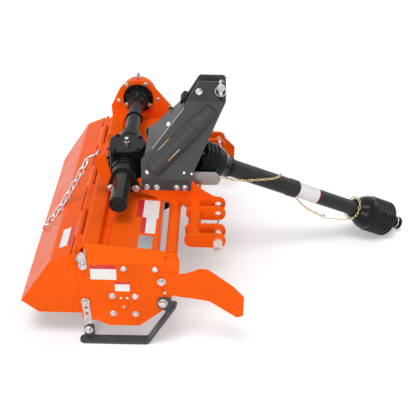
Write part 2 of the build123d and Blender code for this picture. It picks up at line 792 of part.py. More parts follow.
# Half-round can on the right mast plate, lying along its slope, for the handbook.
can_r = 34
can_neck_r = 27
can_length = 214
can_end = 308
can_plane = Plane(
    origin=(pin_x - 244, pto_y - mast_foot, fold_low),
    x_dir=(1, 0, 0),
    z_dir=(0, -cos(radians(mast_lean)), sin(radians(mast_lean))),
)
can_turn = 46.6
can_start = can_plane.from_local_coords(Vector(3, 33, 0))
can_dir = can_plane.from_local_coords(Vector(cos(radians(can_turn)), sin(radians(can_turn)), 0))
can_dir = can_dir - can_plane.origin
can_side = can_plane.z_dir
with BuildPart() as handbook_can:
    with BuildSketch(Plane(origin=can_start, x_dir=can_dir, z_dir=can_dir.cross(can_side))):
        with BuildLine():
            FilletPolyline(
                (0, 0),
                (0, can_r),
                (can_length, can_r),
                (can_length + 2, can_r - 2),
                (can_length + 5, can_r - 2),
                (can_length + 7, can_r),
                (can_length + 28, can_r - 1),
                (can_length + 50, can_neck_r + 1),
                (can_end, can_neck_r),
                (can_end, 0),
                radius=[0, 8, 0.5, 0.5, 0.5, 0.5, 12, 12, 10, 0],
                close=True,
            )
        make_face()
    revolve(axis=Axis(can_start, can_dir))
    split(bisect_by=Plane(origin=can_start, x_dir=can_dir, z_dir=can_side), keep=Keep.TOP)
save(handbook_can, "handbook_can")

# ---------------------------------------------------------------- gearbox and cross shaft
gearbox_half = 62
gearbox_back, gearbox_front = -404, -280  # from the lower pins
gearbox_low, gearbox_high = shaft_z - 61, shaft_z + 50
lid_sheet = 11
rib_high = 4
input_hub_front = -196
input_hub_r = 42
input_shaft_r = 17.4
gearbox_x = pin_x + (gearbox_back + gearbox_front) / 2
gearbox_long = gearbox_front - gearbox_back

with BuildPart() as gearbox:
    with BuildSketch(Plane.XY.offset(gearbox_low)):
        with Locations((gearbox_x, pto_y)):
            RectangleRounded(gearbox_long, 2 * gearbox_half, 22)
    extrude(amount=gearbox_high - gearbox_low)
    fillet(gearbox.faces().sort_by(Axis.Z)[0].edges(), 12)
    with BuildSketch(side(pto_y + bracket_y)):
        with Locations((shaft_x, shaft_z)):
            Circle(hub_r)
    extrude(amount=2 * bracket_y)
    for hand in (-1, 1):
        for rib_y in (gearbox_half + 14, gearbox_half + 30, gearbox_half + 46):
            with BuildSketch(side(pto_y + hand * rib_y + 3)):
                with Locations((shaft_x, shaft_z)):
                    Circle(hub_r + rib_high)
            extrude(amount=6)
    with BuildSketch(Plane.YZ.offset(gearbox_x)):
        with Locations((pto_y, shaft_z)):
            Circle(input_hub_r)
    extrude(amount=pin_x + input_hub_front - gearbox_x)
    fillet(gearbox.faces().sort_by(Axis.X)[-1].edges(), 4)
save(gearbox, "gearbox")

# Outline of the lid's flange, as (forward of the gearbox's middle, left of the hitch's middle).
lid_line = [(72, -6), (52, -58), (14, -68), (-44, -66), (-65, -40), (-65, 40), (-44, 66),
            (14, 68), (52, 58), (72, 6)]
with BuildPart() as gearbox_lid:
    with BuildSketch(Plane.XY.offset(gearbox_high)):
        with BuildLine():
            FilletPolyline(*[(gearbox_x + x, pto_y + y) for x, y in lid_line], radius=10,
                           close=True)
        make_face()
    extrude(amount=lid_sheet)
    fillet(gearbox_lid.faces().sort_by(Axis.Z)[-1].edges(), 3)
save(gearbox_lid, "gearbox_lid")

with BuildPart() as gearbox_breather:
    with BuildSketch(Plane.XY.offset(gearbox_high + lid_sheet)):
        with Locations((gearbox_x, pto_y - 4)):
            RegularPolygon(11, 6)
    extrude(amount=8)
    with BuildSketch(Plane.XY.offset(gearbox_high + lid_sheet + 8)):
        with Locations((gearbox_x, pto_y - 4)):
            Circle(7)
    extrude(amount=14)
save(gearbox_breather, "gearbox_breather")

# Guard tube stub on the right of the gearbox, open at its end, on an arched flange.
stub_r = 32
stub_length = 184
stub_flange = 8
with BuildPart() as stub_tube:
    with BuildSketch(side(pto_y - bracket_y)):
        with Locations((shaft_x, shaft_z)):
            Circle(43)
        with Locations((shaft_x - 51, shaft_z - 49), (shaft_x + 53, shaft_z - 49)):
            Circle(11)
        make_hull()
        with Locations((shaft_x - 45, shaft_z - 45), (shaft_x + 45, shaft_z - 45)):
            Circle(5.5, mode=Mode.SUBTRACT)
    extrude(amount=stub_flange)
    with BuildSketch(side(pto_y - bracket_y)):
        with Locations((shaft_x, shaft_z)):
            Circle(stub_r)
    extrude(amount=stub_length)
    with BuildSketch(side(pto_y - bracket_y - 10)):
        with Locations((shaft_x, shaft_z)):
            Circle(stub_r - 6)
    extrude(amount=stub_length, mode=Mode.SUBTRACT)
save(stub_tube, "stub_tube")

# Guard tube across to the gear case, with its collars and the black flange at the case.
cross_tube_r = 29
tube_y = pto_y + bracket_y
flange_in = left_in - 16
with BuildPart() as cross_tube:
    with BuildSketch(Plane(origin=(shaft_x, tube_y, shaft_z), x_dir=(0, 1, 0), z_dir=(1, 0, 0))):
        run = flange_in - tube_y
        with BuildLine():
            Polyline(
                (0, 0),
                (0, 44),
                (10, 44),
                (10, 38),
                (34, 38),
                (40, cross_tube_r),
                (168, cross_tube_r),
                (169, cross_tube_r + 5),
                (181, cross_tube_r + 5),
                (182, cross_tube_r),
                (run - 44, cross_tube_r),
                (run - 30, 33),
                (run - 18, 43),
                (run - 10, 46),
                (run, 46),
                (run, 0),
                close=True,
            )
        make_face()
    revolve(axis=Axis((shaft_x, 0, shaft_z), (0, 1, 0)))
save(cross_tube, "cross_tube")

with BuildPart() as shaft_flange:
    with BuildSketch(side(left_in)):
        with Locations((shaft_x, shaft_z)):
            Circle(63)
            with PolarLocations(52, 5, start_angle=90):
                Circle(5, mode=Mode.SUBTRACT)
    extrude(amount=10)
    with BuildSketch(side(left_in - 10)):
        with Locations((shaft_x, shaft_z)):
            Circle(50)
    extrude(amount=6, taper=20)
    with BuildSketch(side(left_in)):
        with Locations((shaft_x, shaft_z)):
            Circle(20)
    extrude(amount=-30)
save(shaft_flange, "shaft_flange")

# ---------------------------------------------------------------- driveline
pitch = 27.1  # down towards the tractor, as it lies parked
yaw = 17.4  # to the left, as it lies parked
joint_1 = Vector(pin_x - 53, pto_y, shaft_z)
trunnion_r = 8
trunnion_half = 37
arm_in, arm_out = 26, 36
arm_width = 30
web_in = 47  # joint centre to a yoke's web
yoke_hub_r = 22
drive_bar_r = 14
drive_tube_r = 19
slide_play = 0.1  # radial play of the bar in the drive tube
guard_thin_r = 30
guard_wide_r = 33.6
guard_sheet = 3
bell_r = 74
bell_sheet = 3

along = Vector(cos(radians(pitch)) * cos(radians(yaw)),
               cos(radians(pitch)) * sin(radians(yaw)), -sin(radians(pitch)))
across = Vector(-sin(radians(yaw)), cos(radians(yaw)), 0)
over = along.cross(across)
rib_top = 4  # the last rib's top stands this far behind the bell's rim
ground_gap = 0.3
bell_rim = (shaft_z - ground_gap - bell_r * cos(radians(pitch))) / sin(radians(pitch)) + rib_top
joint_2_at = bell_rim - 67
joint_2 = joint_1 + along * joint_2_at
axis_1 = Axis(joint_1, along)

# Local x runs along the shaft and local y away from it.
half_plane = Plane(origin=joint_1, x_dir=along, z_dir=over)


def make_yoke(centre, way, pins, reach, hub_r, shaft_r, shaft_reach, bore_r=0, bore_from=0):
    """A forked yoke: two eyes round the trunnions, a web behind them, a hub and a shaft.

    centre is the joint's middle, way points from it to the hub and pins along the trunnions.
    The hub ends at reach and the shaft at shaft_reach; a bore runs from bore_from outwards.
    """
    flat = way.cross(pins)
    half_width = arm_width / 2
    with BuildPart() as yoke:
        # local x along way, local y along pins
        with BuildSketch(Plane(origin=centre - flat * half_width, x_dir=way, z_dir=flat)):
            with BuildLine():
                Polyline(
                    (-half_width, arm_out),
                    (34, arm_out),
                    (web_in + 11, 20),
                    (web_in + 11, -20),
                    (34, -arm_out),
                    (-half_width, -arm_out),
                    (-half_width, -arm_in),
                    (38, -arm_in),
                    (web_in, -16),
                    (web_in, 16),
                    (38, arm_in),
                    (-half_width, arm_in),
                    close=True,
                )
            make_face()
        extrude(amount=arm_width)
        with BuildSketch(Plane(origin=centre - pins * arm_out, x_dir=way, z_dir=pins)):
            Circle(half_width)
            Rectangle(web_in + 20, arm_width, align=(Align.MIN, Align.CENTER))
        extrude(amount=2 * arm_out, mode=Mode.INTERSECT)
        with BuildSketch(Plane(origin=centre - pins * arm_out, x_dir=way, z_dir=pins)):
            Circle(trunnion_r + pin_play)
        extrude(amount=2 * arm_out, mode=Mode.SUBTRACT)
        with BuildSketch(Plane(origin=centre + way * web_in, x_dir=pins, z_dir=way)):
            Circle(hub_r)
        extrude(amount=reach - web_in)
        with BuildSketch(Plane(origin=centre + way * (reach - 5), x_dir=pins, z_dir=way)):
            Circle(shaft_r)
        extrude(amount=shaft_reach - reach + 5)
        if bore_r:
            with BuildSketch(Plane(origin=centre + way * bore_from, x_dir=pins, z_dir=way)):
                Circle(bore_r)
            extrude(amount=shaft_reach - bore_from + 1, mode=Mode.SUBTRACT)
    return yoke


def make_cross(centre, first, second):
    """The cross of a universal joint, its four trunnions along two directions."""
    with BuildPart() as cross:
        for axis, other in ((first, second), (second, first)):
            with BuildSketch(Plane(origin=centre - axis * trunnion_half, x_dir=other, z_dir=axis)):
                Circle(trunnion_r)
            extrude(amount=2 * trunnion_half)
        with BuildSketch(Plane(origin=centre - first * 13, x_dir=second, z_dir=first)):
            Circle(13)
        extrude(amount=26)
    return cross


up = Vector(0, 0, 1)
ahead = Vector(1, 0, 0)
tube_reach = 470
bar_overlap = 220  # the bar's length inside the drive tube, as parked
input_reach = joint_1.X - pin_x - input_hub_front
tractor_bore_r = 17.5
yokes = {
    "input_yoke": make_yoke(joint_1, ahead * -1, up, 80, yoke_hub_r, input_shaft_r, input_reach),
    "inner_drive_shaft": make_yoke(joint_1, along, across, 76, yoke_hub_r, drive_bar_r,
                                   joint_2_at - tube_reach + bar_overlap),
    "outer_drive_shaft": make_yoke(joint_2, along * -1, across, 76, yoke_hub_r, drive_tube_r,
                                   tube_reach, drive_bar_r + slide_play, 120),
    "tractor_yoke": make_yoke(joint_2, along, over, 104, 24, 22.5, 112, tractor_bore_r, web_in - 1),
}
for name, yoke in yokes.items():
    save(yoke, name)
save(make_cross(joint_1, up, across), "joint_cross_rear")
save(make_cross(joint_2, across, over), "joint_cross_front")

# Bell guards: a ribbed skirt running back through a dome to a neck on the guard tube.
rib_rise = 4
rib_pitch = 17


def ribbed(start, count, radius, way):
    """Zigzag line of ribs along a skirt, as (along, radius) points."""
    line = []
    for k in range(count):
        foot = start + way * k * rib_pitch
        line += [(foot, radius), (foot + way * 4, radius + rib_rise),
                 (foot + way * 9, radius + rib_rise), (foot + way * 13, radius)]
    return line


rear_skirt_r = 64
with BuildPart() as rear_bell_guard:
    with BuildSketch(half_plane):
        with BuildLine():
            outside = ribbed(-30, 4, rear_skirt_r, 1)
            Polyline(
                *outside,
                (44, 63),
                (62, 58),
                (80, 45),
                (96, 38),
                (112, 38),
                (112, drive_bar_r + 0.2),
                (106, drive_bar_r + 0.2),
                (106, 34),
                (94, 35),
                (77, 42),
                (60, 55),
                (42, 60),
                (-30, rear_skirt_r - bell_sheet),
                close=True,
            )
        make_face()
    revolve(axis=axis_1)
save(rear_bell_guard, "rear_bell_guard")

neck_at = bell_rim - 176
wide_end = neck_at - 300
guard_overlap = 235
with BuildPart() as rear_guard_tube:
    with BuildSketch(half_plane):
        with BuildLine():
            Polyline(
                (112, guard_wide_r - guard_sheet),
                (112, guard_wide_r),
                (wide_end - 40, guard_wide_r),
                (wide_end - 37, guard_wide_r + 2),
                (wide_end, guard_wide_r + 2),
                (wide_end, guard_wide_r - guard_sheet),
                close=True,
            )
        make_face()
    revolve(axis=axis_1)
save(rear_guard_tube, "rear_guard_tube")

with BuildPart() as front_guard_tube:
    with BuildSketch(half_plane):
        with BuildLine():
            Polyline(
                (wide_end - guard_overlap, guard_thin_r - guard_sheet),
                (wide_end - guard_overlap, guard_thin_r),
                (neck_at, guard_thin_r),
                (neck_at, guard_thin_r - guard_sheet),
                close=True,
            )
        make_face()
    revolve(axis=axis_1)
save(front_guard_tube, "front_guard_tube")

front_skirt_r = bell_r - rib_rise
with BuildPart() as front_bell_guard:
    with BuildSketch(half_plane):
        with BuildLine():
            outside = ribbed(bell_rim - 13 - 5 * rib_pitch, 6, front_skirt_r, 1)
            Polyline(
                (neck_at, drive_tube_r + 0.2),
                (neck_at, 40),
                (neck_at + 14, 42),
                (neck_at + 38, 60),
                (neck_at + 58, 69),
                *outside,
                (bell_rim, front_skirt_r - bell_sheet),
                (neck_at + 60, 66),
                (neck_at + 40, 57),
                (neck_at + 16, 39),
                (neck_at + 6, 37),
                (neck_at + 6, drive_tube_r + 0.2),
                close=True,
            )
        make_face()
    revolve(axis=axis_1)
save(front_bell_guard, "front_bell_guard")

# ---------------------------------------------------------------- chains


def about(points):
    """Places round the driveline from (along, turn from its right-hand side, radius)."""
    return [
        joint_1 + along * s
        + (across * -1) * (r * cos(radians(turn))) + over_up * (r * sin(radians(turn)))
        for s, turn, r in points
    ]


over_up = over if over.Z > 0 else over * -1
chain_tables = {
    "rear_guard_chain": about([(104, -55, 41.3), (118, -50, 44), (160, -35, 42), (230, 8, 39.5),
                               (290, 40, 38.4), (322, 72, 37.4), (333, 96, 37), (338, 120, 36.9)]),
    "front_guard_chain": about([(wide_end + 17, -125, 33.3), (wide_end + 30, -104, 37),
                                (wide_end + 75, -84, 58), (wide_end + 125, -80, 70),
                                (neck_at - 116, -74, 68), (neck_at - 66, -58, 57),
                                (neck_at - 26, -25, 49),
                                (neck_at + 1, 10, 46), (neck_at + 4, 36, 44.8),
                                (neck_at + 5, 62, 44.2)]),
}
chain_y = pto_y - bracket_y
tailgate_chain_path = [
    Vector(pin_x + chain_hole[0], chain_y - chain_r - 0.2, chain_hole[1]),
    Vector(pin_x + chain_hole[0] - 8, chain_y - 6, chain_hole[1] - 30),
    Vector(hinge_x - 21, chain_y + 10, 398),
    Vector(hinge_x - 68, chain_y + 26, 353),
    Vector(hinge_x - 95, chain_y + 33, 336),
    Vector(hinge_x - 114, chain_y + 38, 308),
    Vector(hinge_x - 138, chain_y + 43, 267),
    Vector(hinge_x - 160, chain_y + 48, 228.3),
]
chain_tables["tailgate_chain"] = tailgate_chain_path
for name, places in chain_tables.items():
    with BuildPart() as chain:
        with BuildLine() as chain_line:
            Spline(*places)
        with BuildSketch(Plane(origin=chain_line.wire() @ 0, z_dir=chain_line.wire() % 0)):
            Circle(chain_r)
        sweep()
    save(chain, name)
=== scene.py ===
"""Compact rotary tiller for a small tractor, finished for the studio.

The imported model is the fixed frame: +X forward, +Y to the machine's left, +Z up, metres.
"""

import json
from math import atan2, cos, degrees, pi, radians, sin, sqrt

import bmesh
import bpy
from mathutils import Matrix, Vector


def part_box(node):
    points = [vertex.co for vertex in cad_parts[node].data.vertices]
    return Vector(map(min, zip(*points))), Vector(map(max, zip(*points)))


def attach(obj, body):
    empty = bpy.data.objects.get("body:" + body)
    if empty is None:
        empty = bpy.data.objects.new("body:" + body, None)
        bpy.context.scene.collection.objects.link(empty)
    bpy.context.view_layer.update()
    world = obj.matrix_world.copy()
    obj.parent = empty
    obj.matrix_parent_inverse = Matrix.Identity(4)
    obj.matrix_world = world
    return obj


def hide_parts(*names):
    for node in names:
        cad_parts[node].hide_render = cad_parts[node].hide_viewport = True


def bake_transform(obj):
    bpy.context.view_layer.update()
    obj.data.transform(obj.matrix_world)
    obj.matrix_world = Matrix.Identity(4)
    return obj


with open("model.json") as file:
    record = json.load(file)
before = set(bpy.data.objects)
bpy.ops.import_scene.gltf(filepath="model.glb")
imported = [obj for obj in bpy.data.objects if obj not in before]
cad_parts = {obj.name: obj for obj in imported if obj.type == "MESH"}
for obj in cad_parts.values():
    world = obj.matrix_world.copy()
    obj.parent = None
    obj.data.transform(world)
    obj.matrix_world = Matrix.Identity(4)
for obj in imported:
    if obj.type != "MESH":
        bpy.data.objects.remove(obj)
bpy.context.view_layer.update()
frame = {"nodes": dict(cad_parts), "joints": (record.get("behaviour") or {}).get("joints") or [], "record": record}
record = frame["record"]

# ---------------------------------- camera, floor and lamps
# The machine stands on a white floor under three broad, soft lights: one overhead, one low at
# its right side and a weak one ahead to its left. The camera sees its right side from above.
eye = Vector((-0.0715, -2.7585, 2.0557))
turn, dip, roll = radians(-0.1327), radians(33.448), radians(1.2773)
ahead = Vector((sin(turn) * cos(dip), cos(turn) * cos(dip), -sin(dip)))
level = Vector((cos(turn), -sin(turn), 0))
upright = level.cross(ahead)
right = level * cos(roll) + upright * sin(roll)
above = upright * cos(roll) - level * sin(roll)
bpy.ops.object.camera_add()
camera = bpy.context.object
camera.matrix_world = Matrix((right, above, -ahead)).transposed().to_4x4()
camera.location = eye
camera.data.lens = 72.83
camera.data.sensor_width = 36
camera.data.clip_end = 60
bpy.context.scene.camera = camera
bpy.context.scene.view_settings.view_transform = "Standard"


def shine(tree, strength, unseen, seen):
    """Gives a strength one value as light on the object and one as the camera sees it."""
    rays = tree.nodes.new("ShaderNodeLightPath")
    wire = rays.outputs["Is Camera Ray"]
    for other in ("Is Glossy Ray", "Is Transmission Ray"):
        either = tree.nodes.new("ShaderNodeMath")
        either.operation = "MAXIMUM"
        tree.links.new(wire, either.inputs[0])
        tree.links.new(rays.outputs[other], either.inputs[1])
        wire = either.outputs[0]
    glow = tree.nodes.new("ShaderNodeMath")
    glow.operation = "MULTIPLY_ADD"
    tree.links.new(wire, glow.inputs[0])
    glow.inputs[1].default_value = seen - unseen
    glow.inputs[2].default_value = unseen
    tree.links.new(glow.outputs[0], strength)


bpy.ops.mesh.primitive_plane_add(size=40)
floor = bpy.context.object
floor.name = "floor"
floor_paint = bpy.data.materials.new("floor_paint")
floor_paint.use_nodes = True
matt = floor_paint.node_tree.nodes["Principled BSDF"]
for socket, value in (("Base Color", (0.8, 0.8, 0.8, 1)), ("Roughness", 0.9),
                      ("Specular IOR Level", 0.1), ("Emission Color", (1, 1, 1, 1))):
    matt.inputs[socket].default_value = value
shine(floor_paint.node_tree, matt.inputs["Emission Strength"], unseen=0.0, seen=0.26)
floor.data.materials.append(floor_paint)

world = bpy.data.worlds.new("studio")
bpy.context.scene.world = world
world.use_nodes = True
sky = world.node_tree.nodes["Background"]
sky.inputs["Color"].default_value = (1, 1, 1, 1)
shine(world.node_tree, sky.inputs["Strength"], unseen=0.40, seen=1.0)

for label, place, spread, power in (
    ("lamp_over", (-0.10, -0.30, 1.0), 26, 1.60),
    ("lamp_side", (-0.25, -1.0, 0.35), 24, 1.15),
    ("lamp_far", (1.0, 0.6, 0.8), 30, 0.35),
):
    bpy.ops.object.light_add(type="SUN", location=Vector(place) * 4)
    lamp = bpy.context.object
    lamp.name = label
    lamp.data.angle = radians(spread)
    lamp.data.energy = power
    lamp.rotation_euler = (-Vector(place)).to_track_quat("-Z", "Y").to_euler()


# ---------------------------------- orange sheet steel
# The hood, tailgate, hitch and gear case are folded and welded steel under a glossy orange
# powder coat, with a fine orange-peel skin, and a painted highlight along its edges where the
# coat thins.
class Wire:
    """A socket of a finish's node tree that Python's operators work on."""

    def __init__(self, tree, socket=None):
        self.tree = tree
        self.socket = socket

    def add(self, kind, values=None, settings=None, output=0):
        node = self.tree.nodes.new(kind)
        for key, value in (settings or {}).items():
            setattr(node, key, value)
        for key, value in (values or {}).items():
            if isinstance(value, Wire):
                self.tree.links.new(value.socket, node.inputs[key])
            else:
                node.inputs[key].default_value = value
        return Wire(self.tree, node.outputs[output])

    def sum(self, operation, a, b=0.0):
        return self.add("ShaderNodeMath", {0: a, 1: b}, {"operation": operation})

    def __add__(self, other):
        return self.sum("ADD", self, other)

    def __sub__(self, other):
        return self.sum("SUBTRACT", self, other)

    def __rsub__(self, other):
        return self.sum("SUBTRACT", other, self)

    def __mul__(self, other):
        return self.sum("MULTIPLY", self, other)

    def __lt__(self, other):
        return self.sum("LESS_THAN", self, other)

    def __gt__(self, other):
        return self.sum("GREATER_THAN", self, other)

    __radd__ = __add__
    __rmul__ = __mul__

    def fade(self, low, high):
        """0 below low, 1 above high, smooth between."""
        return self.add("ShaderNodeMapRange", {0: self, 1: low, 2: high},
                        {"interpolation_type": "SMOOTHSTEP"})

    def place(self):
        """A point's place in the machine."""
        return self.add("ShaderNodeTexCoord", output=3)

    def noise(self, scale, detail=2.0, rough=0.5, at=None):
        return self.add("ShaderNodeTexNoise", {"Vector": at or self.place(), "Scale": scale,
                                               "Detail": detail, "Roughness": rough})

    def tint(self, factor, one, two, how="MIX"):
        """Colour one turned into colour two by factor."""
        one, two = (c if isinstance(c, Wire) else (*c, 1) for c in (one, two))
        return self.add("ShaderNodeMix", {0: factor, 6: one, 7: two},
                        {"data_type": "RGBA", "blend_type": how}, output=2)

    def bump(self, strength, height, surface):
        """A bump of a height in metres that follows surface."""
        return self.add("ShaderNodeBump", {"Strength": strength, "Distance": height,
                                           "Height": surface})

    def along(self, start, way):
        """How far a point lies past start in the direction of way."""
        moved = self.add("ShaderNodeVectorMath", {0: self.place(), 1: start},
                         {"operation": "SUBTRACT"})
        return self.add("ShaderNodeVectorMath", {0: moved, 1: way},
                        {"operation": "DOT_PRODUCT"}, output=1)

    def edge_wear_and_highlight(self, width):
        """1 on a convex or hollow edge, 0 on the flat; it carries a painted edge highlight."""
        rounded = self.add("ShaderNodeBevel", {"Radius": width}, {"samples": 4})
        plain = self.add("ShaderNodeNewGeometry", output=1)
        match = self.add("ShaderNodeVectorMath", {0: rounded, 1: plain},
                         {"operation": "DOT_PRODUCT"}, output=1)
        return (1 - match).fade(0.02, 0.25)


def finish(name, colour, metallic=0.0, rough=0.4, specular=0.5, sheen=(1, 1, 1)):
    """A new finish with its even values set, and a wire into its node tree."""
    made = bpy.data.materials.new(name)
    made.use_nodes = True
    shader = made.node_tree.nodes["Principled BSDF"]
    for socket, value in (("Base Color", (*colour, 1)), ("Metallic", metallic),
                          ("Roughness", rough), ("Specular IOR Level", specular),
                          ("Specular Tint", (*sheen, 1))):
        shader.inputs[socket].default_value = value
    return made, shader, Wire(made.node_tree)


def join_up(made, shader, **wires):
    """Runs each named wire into the shader."""
    for socket, wire in wires.items():
        made.node_tree.links.new(wire.socket, shader.inputs[socket.replace("_", " ")])


def paint(name, colour, edge, dust, rough=0.3, peel=0.00004, specular=0.4,
          sheen=(0.3, 0.3, 0.3)):
    """Powder coat: clouded colour, thin paint and a painted highlight on edges, settled dust and an orange-peel
    skin.
    """
    made, shader, wire = finish(name, colour, rough=rough, specular=specular, sheen=sheen)
    cloud = wire.noise(5.5, 3).fade(0.3, 0.75)
    base = wire.tint(cloud, [c * 0.88 for c in colour], colour)
    speck = wire.noise(420, 1).fade(0.66, 0.74) * wire.noise(16, 2).fade(0.5, 0.7)
    base = wire.tint(speck * 0.18, base, dust)
    # Edges turn paler in patches: a painted highlight along them, where the coat also thins.
    lit_worn_edges = wire.edge_wear_and_highlight(0.0016) * wire.noise(60, 2).fade(0.35, 0.6)
    base = wire.tint(lit_worn_edges * 0.6, base, edge)
    smear = wire.noise(11, 4, 0.6).fade(0.35, 0.7)
    join_up(made, shader, Base_Color=base, Roughness=smear * 0.12 + (rough - 0.04),
            Normal=wire.bump(0.35, peel, wire.noise(650, 2, 0.6)))
    return made


finished = set()


def cover(made, *nodes):
    """Gives pieces of the frame a finish."""
    for node in nodes:
        finished.add(node)
        for place in frame["nodes"][node].material_slots:
            place.material = made


def dress(made, slot):
    """Covers the frame's pieces of one material slot that have no finish of their own yet."""
    cover(made, *[part["node"] for part in record["subparts"]
                  if part["material_slot"] == slot and part["node"] not in finished])


orange = paint("orange_coat", (0.93, 0.112, 0.006), (1.0, 0.28, 0.08), (0.95, 0.42, 0.20),
               specular=0.10, sheen=(1.0, 0.30, 0.08))
dress(orange, "orange_paint")


# ---------------------------------- side plate bolts
# Zinc-plated hex bolts on washers hold the rotor's bearing to the right side plate, and low
# domed coach bolts close the hood's inner stiffener. Each kind is made once and copied.
patterns = []
crease = radians(35)


def keep(pattern):
    """Remembers a pattern piece, so that it can be put away at the end."""
    patterns.append(pattern)
    return pattern


def pick(*pieces):
    """Selects pieces and nothing else, with the first one active."""
    bpy.ops.object.select_all(action="DESELECT")
    for piece in pieces:
        piece.select_set(True)
    bpy.context.view_layer.objects.active = pieces[0]


def begin(kind, **sizes):
    """Starts a piece from a primitive, with nothing else selected."""
    bpy.ops.object.select_all(action="DESELECT")
    getattr(bpy.ops.mesh, "primitive_" + kind + "_add")(**sizes)
    return bpy.context.object


def open_mesh():
    bpy.ops.object.mode_set(mode="EDIT")


def close_mesh():
    bpy.ops.object.mode_set(mode="OBJECT")


def choose(test, kind="faces"):
    """In edit mode, selects the faces, edges or vertices that pass a test."""
    mesh = bpy.context.object.data
    cage = bmesh.from_edit_mesh(mesh)
    for part in (cage.faces, cage.edges, cage.verts):
        for item in part:
            item.select = False
    for item in getattr(cage, kind):
        if test(item):
            item.select = True
    cage.select_flush(True)
    bmesh.update_edit_mesh(mesh)


def choose_all():
    bpy.ops.mesh.select_all(action="SELECT")


def inset(width):
    bpy.ops.mesh.inset(thickness=width)


def pull(rise, ahead=0.0):
    """Extrudes what is chosen, rise along Z and ahead along X."""
    bpy.ops.mesh.extrude_region_move(TRANSFORM_OT_translate={"value": (ahead, 0, rise)})


def shift(rise):
    """Moves what is chosen along Z."""
    bpy.ops.transform.translate(value=(0, 0, rise))


def swell(across, high=1.0, **about):
    """Scales what is chosen across Z and along it."""
    bpy.ops.transform.resize(value=(across, across, high), **about)


def work(piece, *steps, on=lambda face: face.normal.z > 0.9):
    """Shapes a piece from its top or other faces, by a tool and a size at each step."""
    open_mesh()
    choose(on)
    for tool, size in steps:
        tool(size)
    close_mesh()
    return piece


def soften(piece, width, segments=2, angle=30):
    """Rounds a piece's sharp edges and shades it smooth between them."""
    round_off = piece.modifiers.new("round", "BEVEL")
    round_off.width = width
    round_off.segments = segments
    round_off.limit_method = "ANGLE"
    round_off.angle_limit = radians(angle)
    pick(piece)
    bpy.ops.object.modifier_apply(modifier="round")
    bpy.ops.object.shade_smooth_by_angle(angle=crease)
    return piece


def settle(piece):
    """Puts a piece's place into its mesh."""
    pick(piece)
    bpy.ops.object.transform_apply(location=True, rotation=True, scale=True)
    return piece


def make_one(pieces, name):
    """Joins pieces into the first of them."""
    for piece in pieces:
        settle(piece)
    pick(*pieces)
    if len(pieces) > 1:
        bpy.ops.object.join()
    pieces[0].name = name
    pieces[0].data.name = name
    return pieces[0]


def give(piece, made, body):
    """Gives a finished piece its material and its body."""
    settle(piece)
    piece.data.materials.clear()
    piece.data.materials.append(made)
    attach(piece, body)
    return piece


def hex_bolt(across, head, washer):
    """A hex head with a chamfered, dished top on its washer, standing on z = 0."""
    thick, sunk = 0.0024, 0.0002
    ring = soften(begin("cylinder", vertices=28, radius=washer, depth=thick,
                        location=(0, 0, thick / 2)), 0.0005)
    nut = begin("cylinder", vertices=6, radius=across / sqrt(3), depth=head,
                location=(0, 0, thick - sunk + head / 2))
    work(nut, (inset, across * 0.07), (shift, head * 0.12), (inset, across * 0.16),
         (shift, -head * 0.08))
    return keep(make_one([soften(nut, 0.0006), ring], "hex_pattern"))


def dome_bolt(radius, high, rim=0.0008):
    """A coach bolt's low dome on its rim, standing on z = 0."""
    dome = begin("uv_sphere", segments=24, ring_count=16, radius=radius)
    open_mesh()
    choose_all()
    bpy.ops.mesh.bisect(plane_co=(0, 0, 0), plane_no=(0, 0, 1), clear_inner=True, use_fill=True)
    choose_all()
    swell(1, high / radius, center_override=(0, 0, 0))
    choose(lambda face: face.normal.z < -0.9)
    pull(-rim)
    choose_all()
    shift(rim)
    close_mesh()
    return keep(soften(dome, 0.0003))


def metal(name, colour, tone, rough=0.3, grain=0.00003, streak=None):
    """Bare or plated metal: mottled tone, brushed along streak, with a painted highlight on its edges."""
    made, shader, wire = finish(name, colour, metallic=1.0, rough=rough)
    at = wire.place()
    if streak:
        at = wire.add("ShaderNodeMapping", {"Vector": at, "Scale": streak})
    mottle = wire.noise(70, 3, 0.6, at).fade(0.35, 0.7)
    spangle = wire.add("ShaderNodeTexVoronoi", {"Vector": wire.place(), "Scale": 220.0},
                       output=1)
    base = wire.tint(mottle, colour, tone)
    base = wire.tint(0.10, base, spangle, "MULTIPLY")
    # Edges are brighter: a painted highlight along them.
    base = wire.tint(wire.edge_wear_and_highlight(0.001) * 0.5, base, (0.85, 0.85, 0.85))
    join_up(made, shader, Base_Color=base, Roughness=mottle * 0.15 + rough,
            Normal=wire.bump(0.3, grain, wire.noise(900, 2, 0.5, at)))
    return made


bolt_zinc = metal("bolt_zinc", (0.50, 0.50, 0.49), (0.78, 0.78, 0.76), rough=0.24,
                  grain=0.00008)


def seat(centre, *ways):
    """Takes X, Y and Z to three directions, and the origin to a centre."""
    return Matrix.Translation(centre) @ Matrix(ways).transposed().to_4x4()


def turn_to(toward):
    """Turns Z to a direction."""
    return Vector(toward).to_track_quat("Z", "Y").to_matrix().to_4x4()


def copy_of(pattern, name, placed):
    """A copy of a pattern with its own mesh, put in its place."""
    one = bpy.data.objects.new(name, pattern.data.copy())
    bpy.context.collection.objects.link(one)
    one.data.transform(placed)
    return one


def fasten(pattern, name, places, toward, body="machine", made=bolt_zinc, slot="zinc_plate",
           spin=0.0, each=0.9):
    """Copies a pattern, modelled along Z, to places, facing toward, each one turned further."""
    copies = [copy_of(pattern, name, Matrix.Translation(place) @ turn_to(toward)
                      @ Matrix.Rotation(spin + each * count, 4, "Z"))
              for count, place in enumerate(places)]
    return give(make_one(copies, name), made, body)


where = {mount["name"]: Vector(mount["pos_m"]) for mount in record["mounts"]}
hinge = {joint["name"]: Vector(joint["pos_m"]) for joint in frame["joints"] if "pos_m" in joint}
rotor = hinge["rotor_spin"]
right_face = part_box("bearing_cap")[1].y
left_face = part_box("gear_case")[0].y

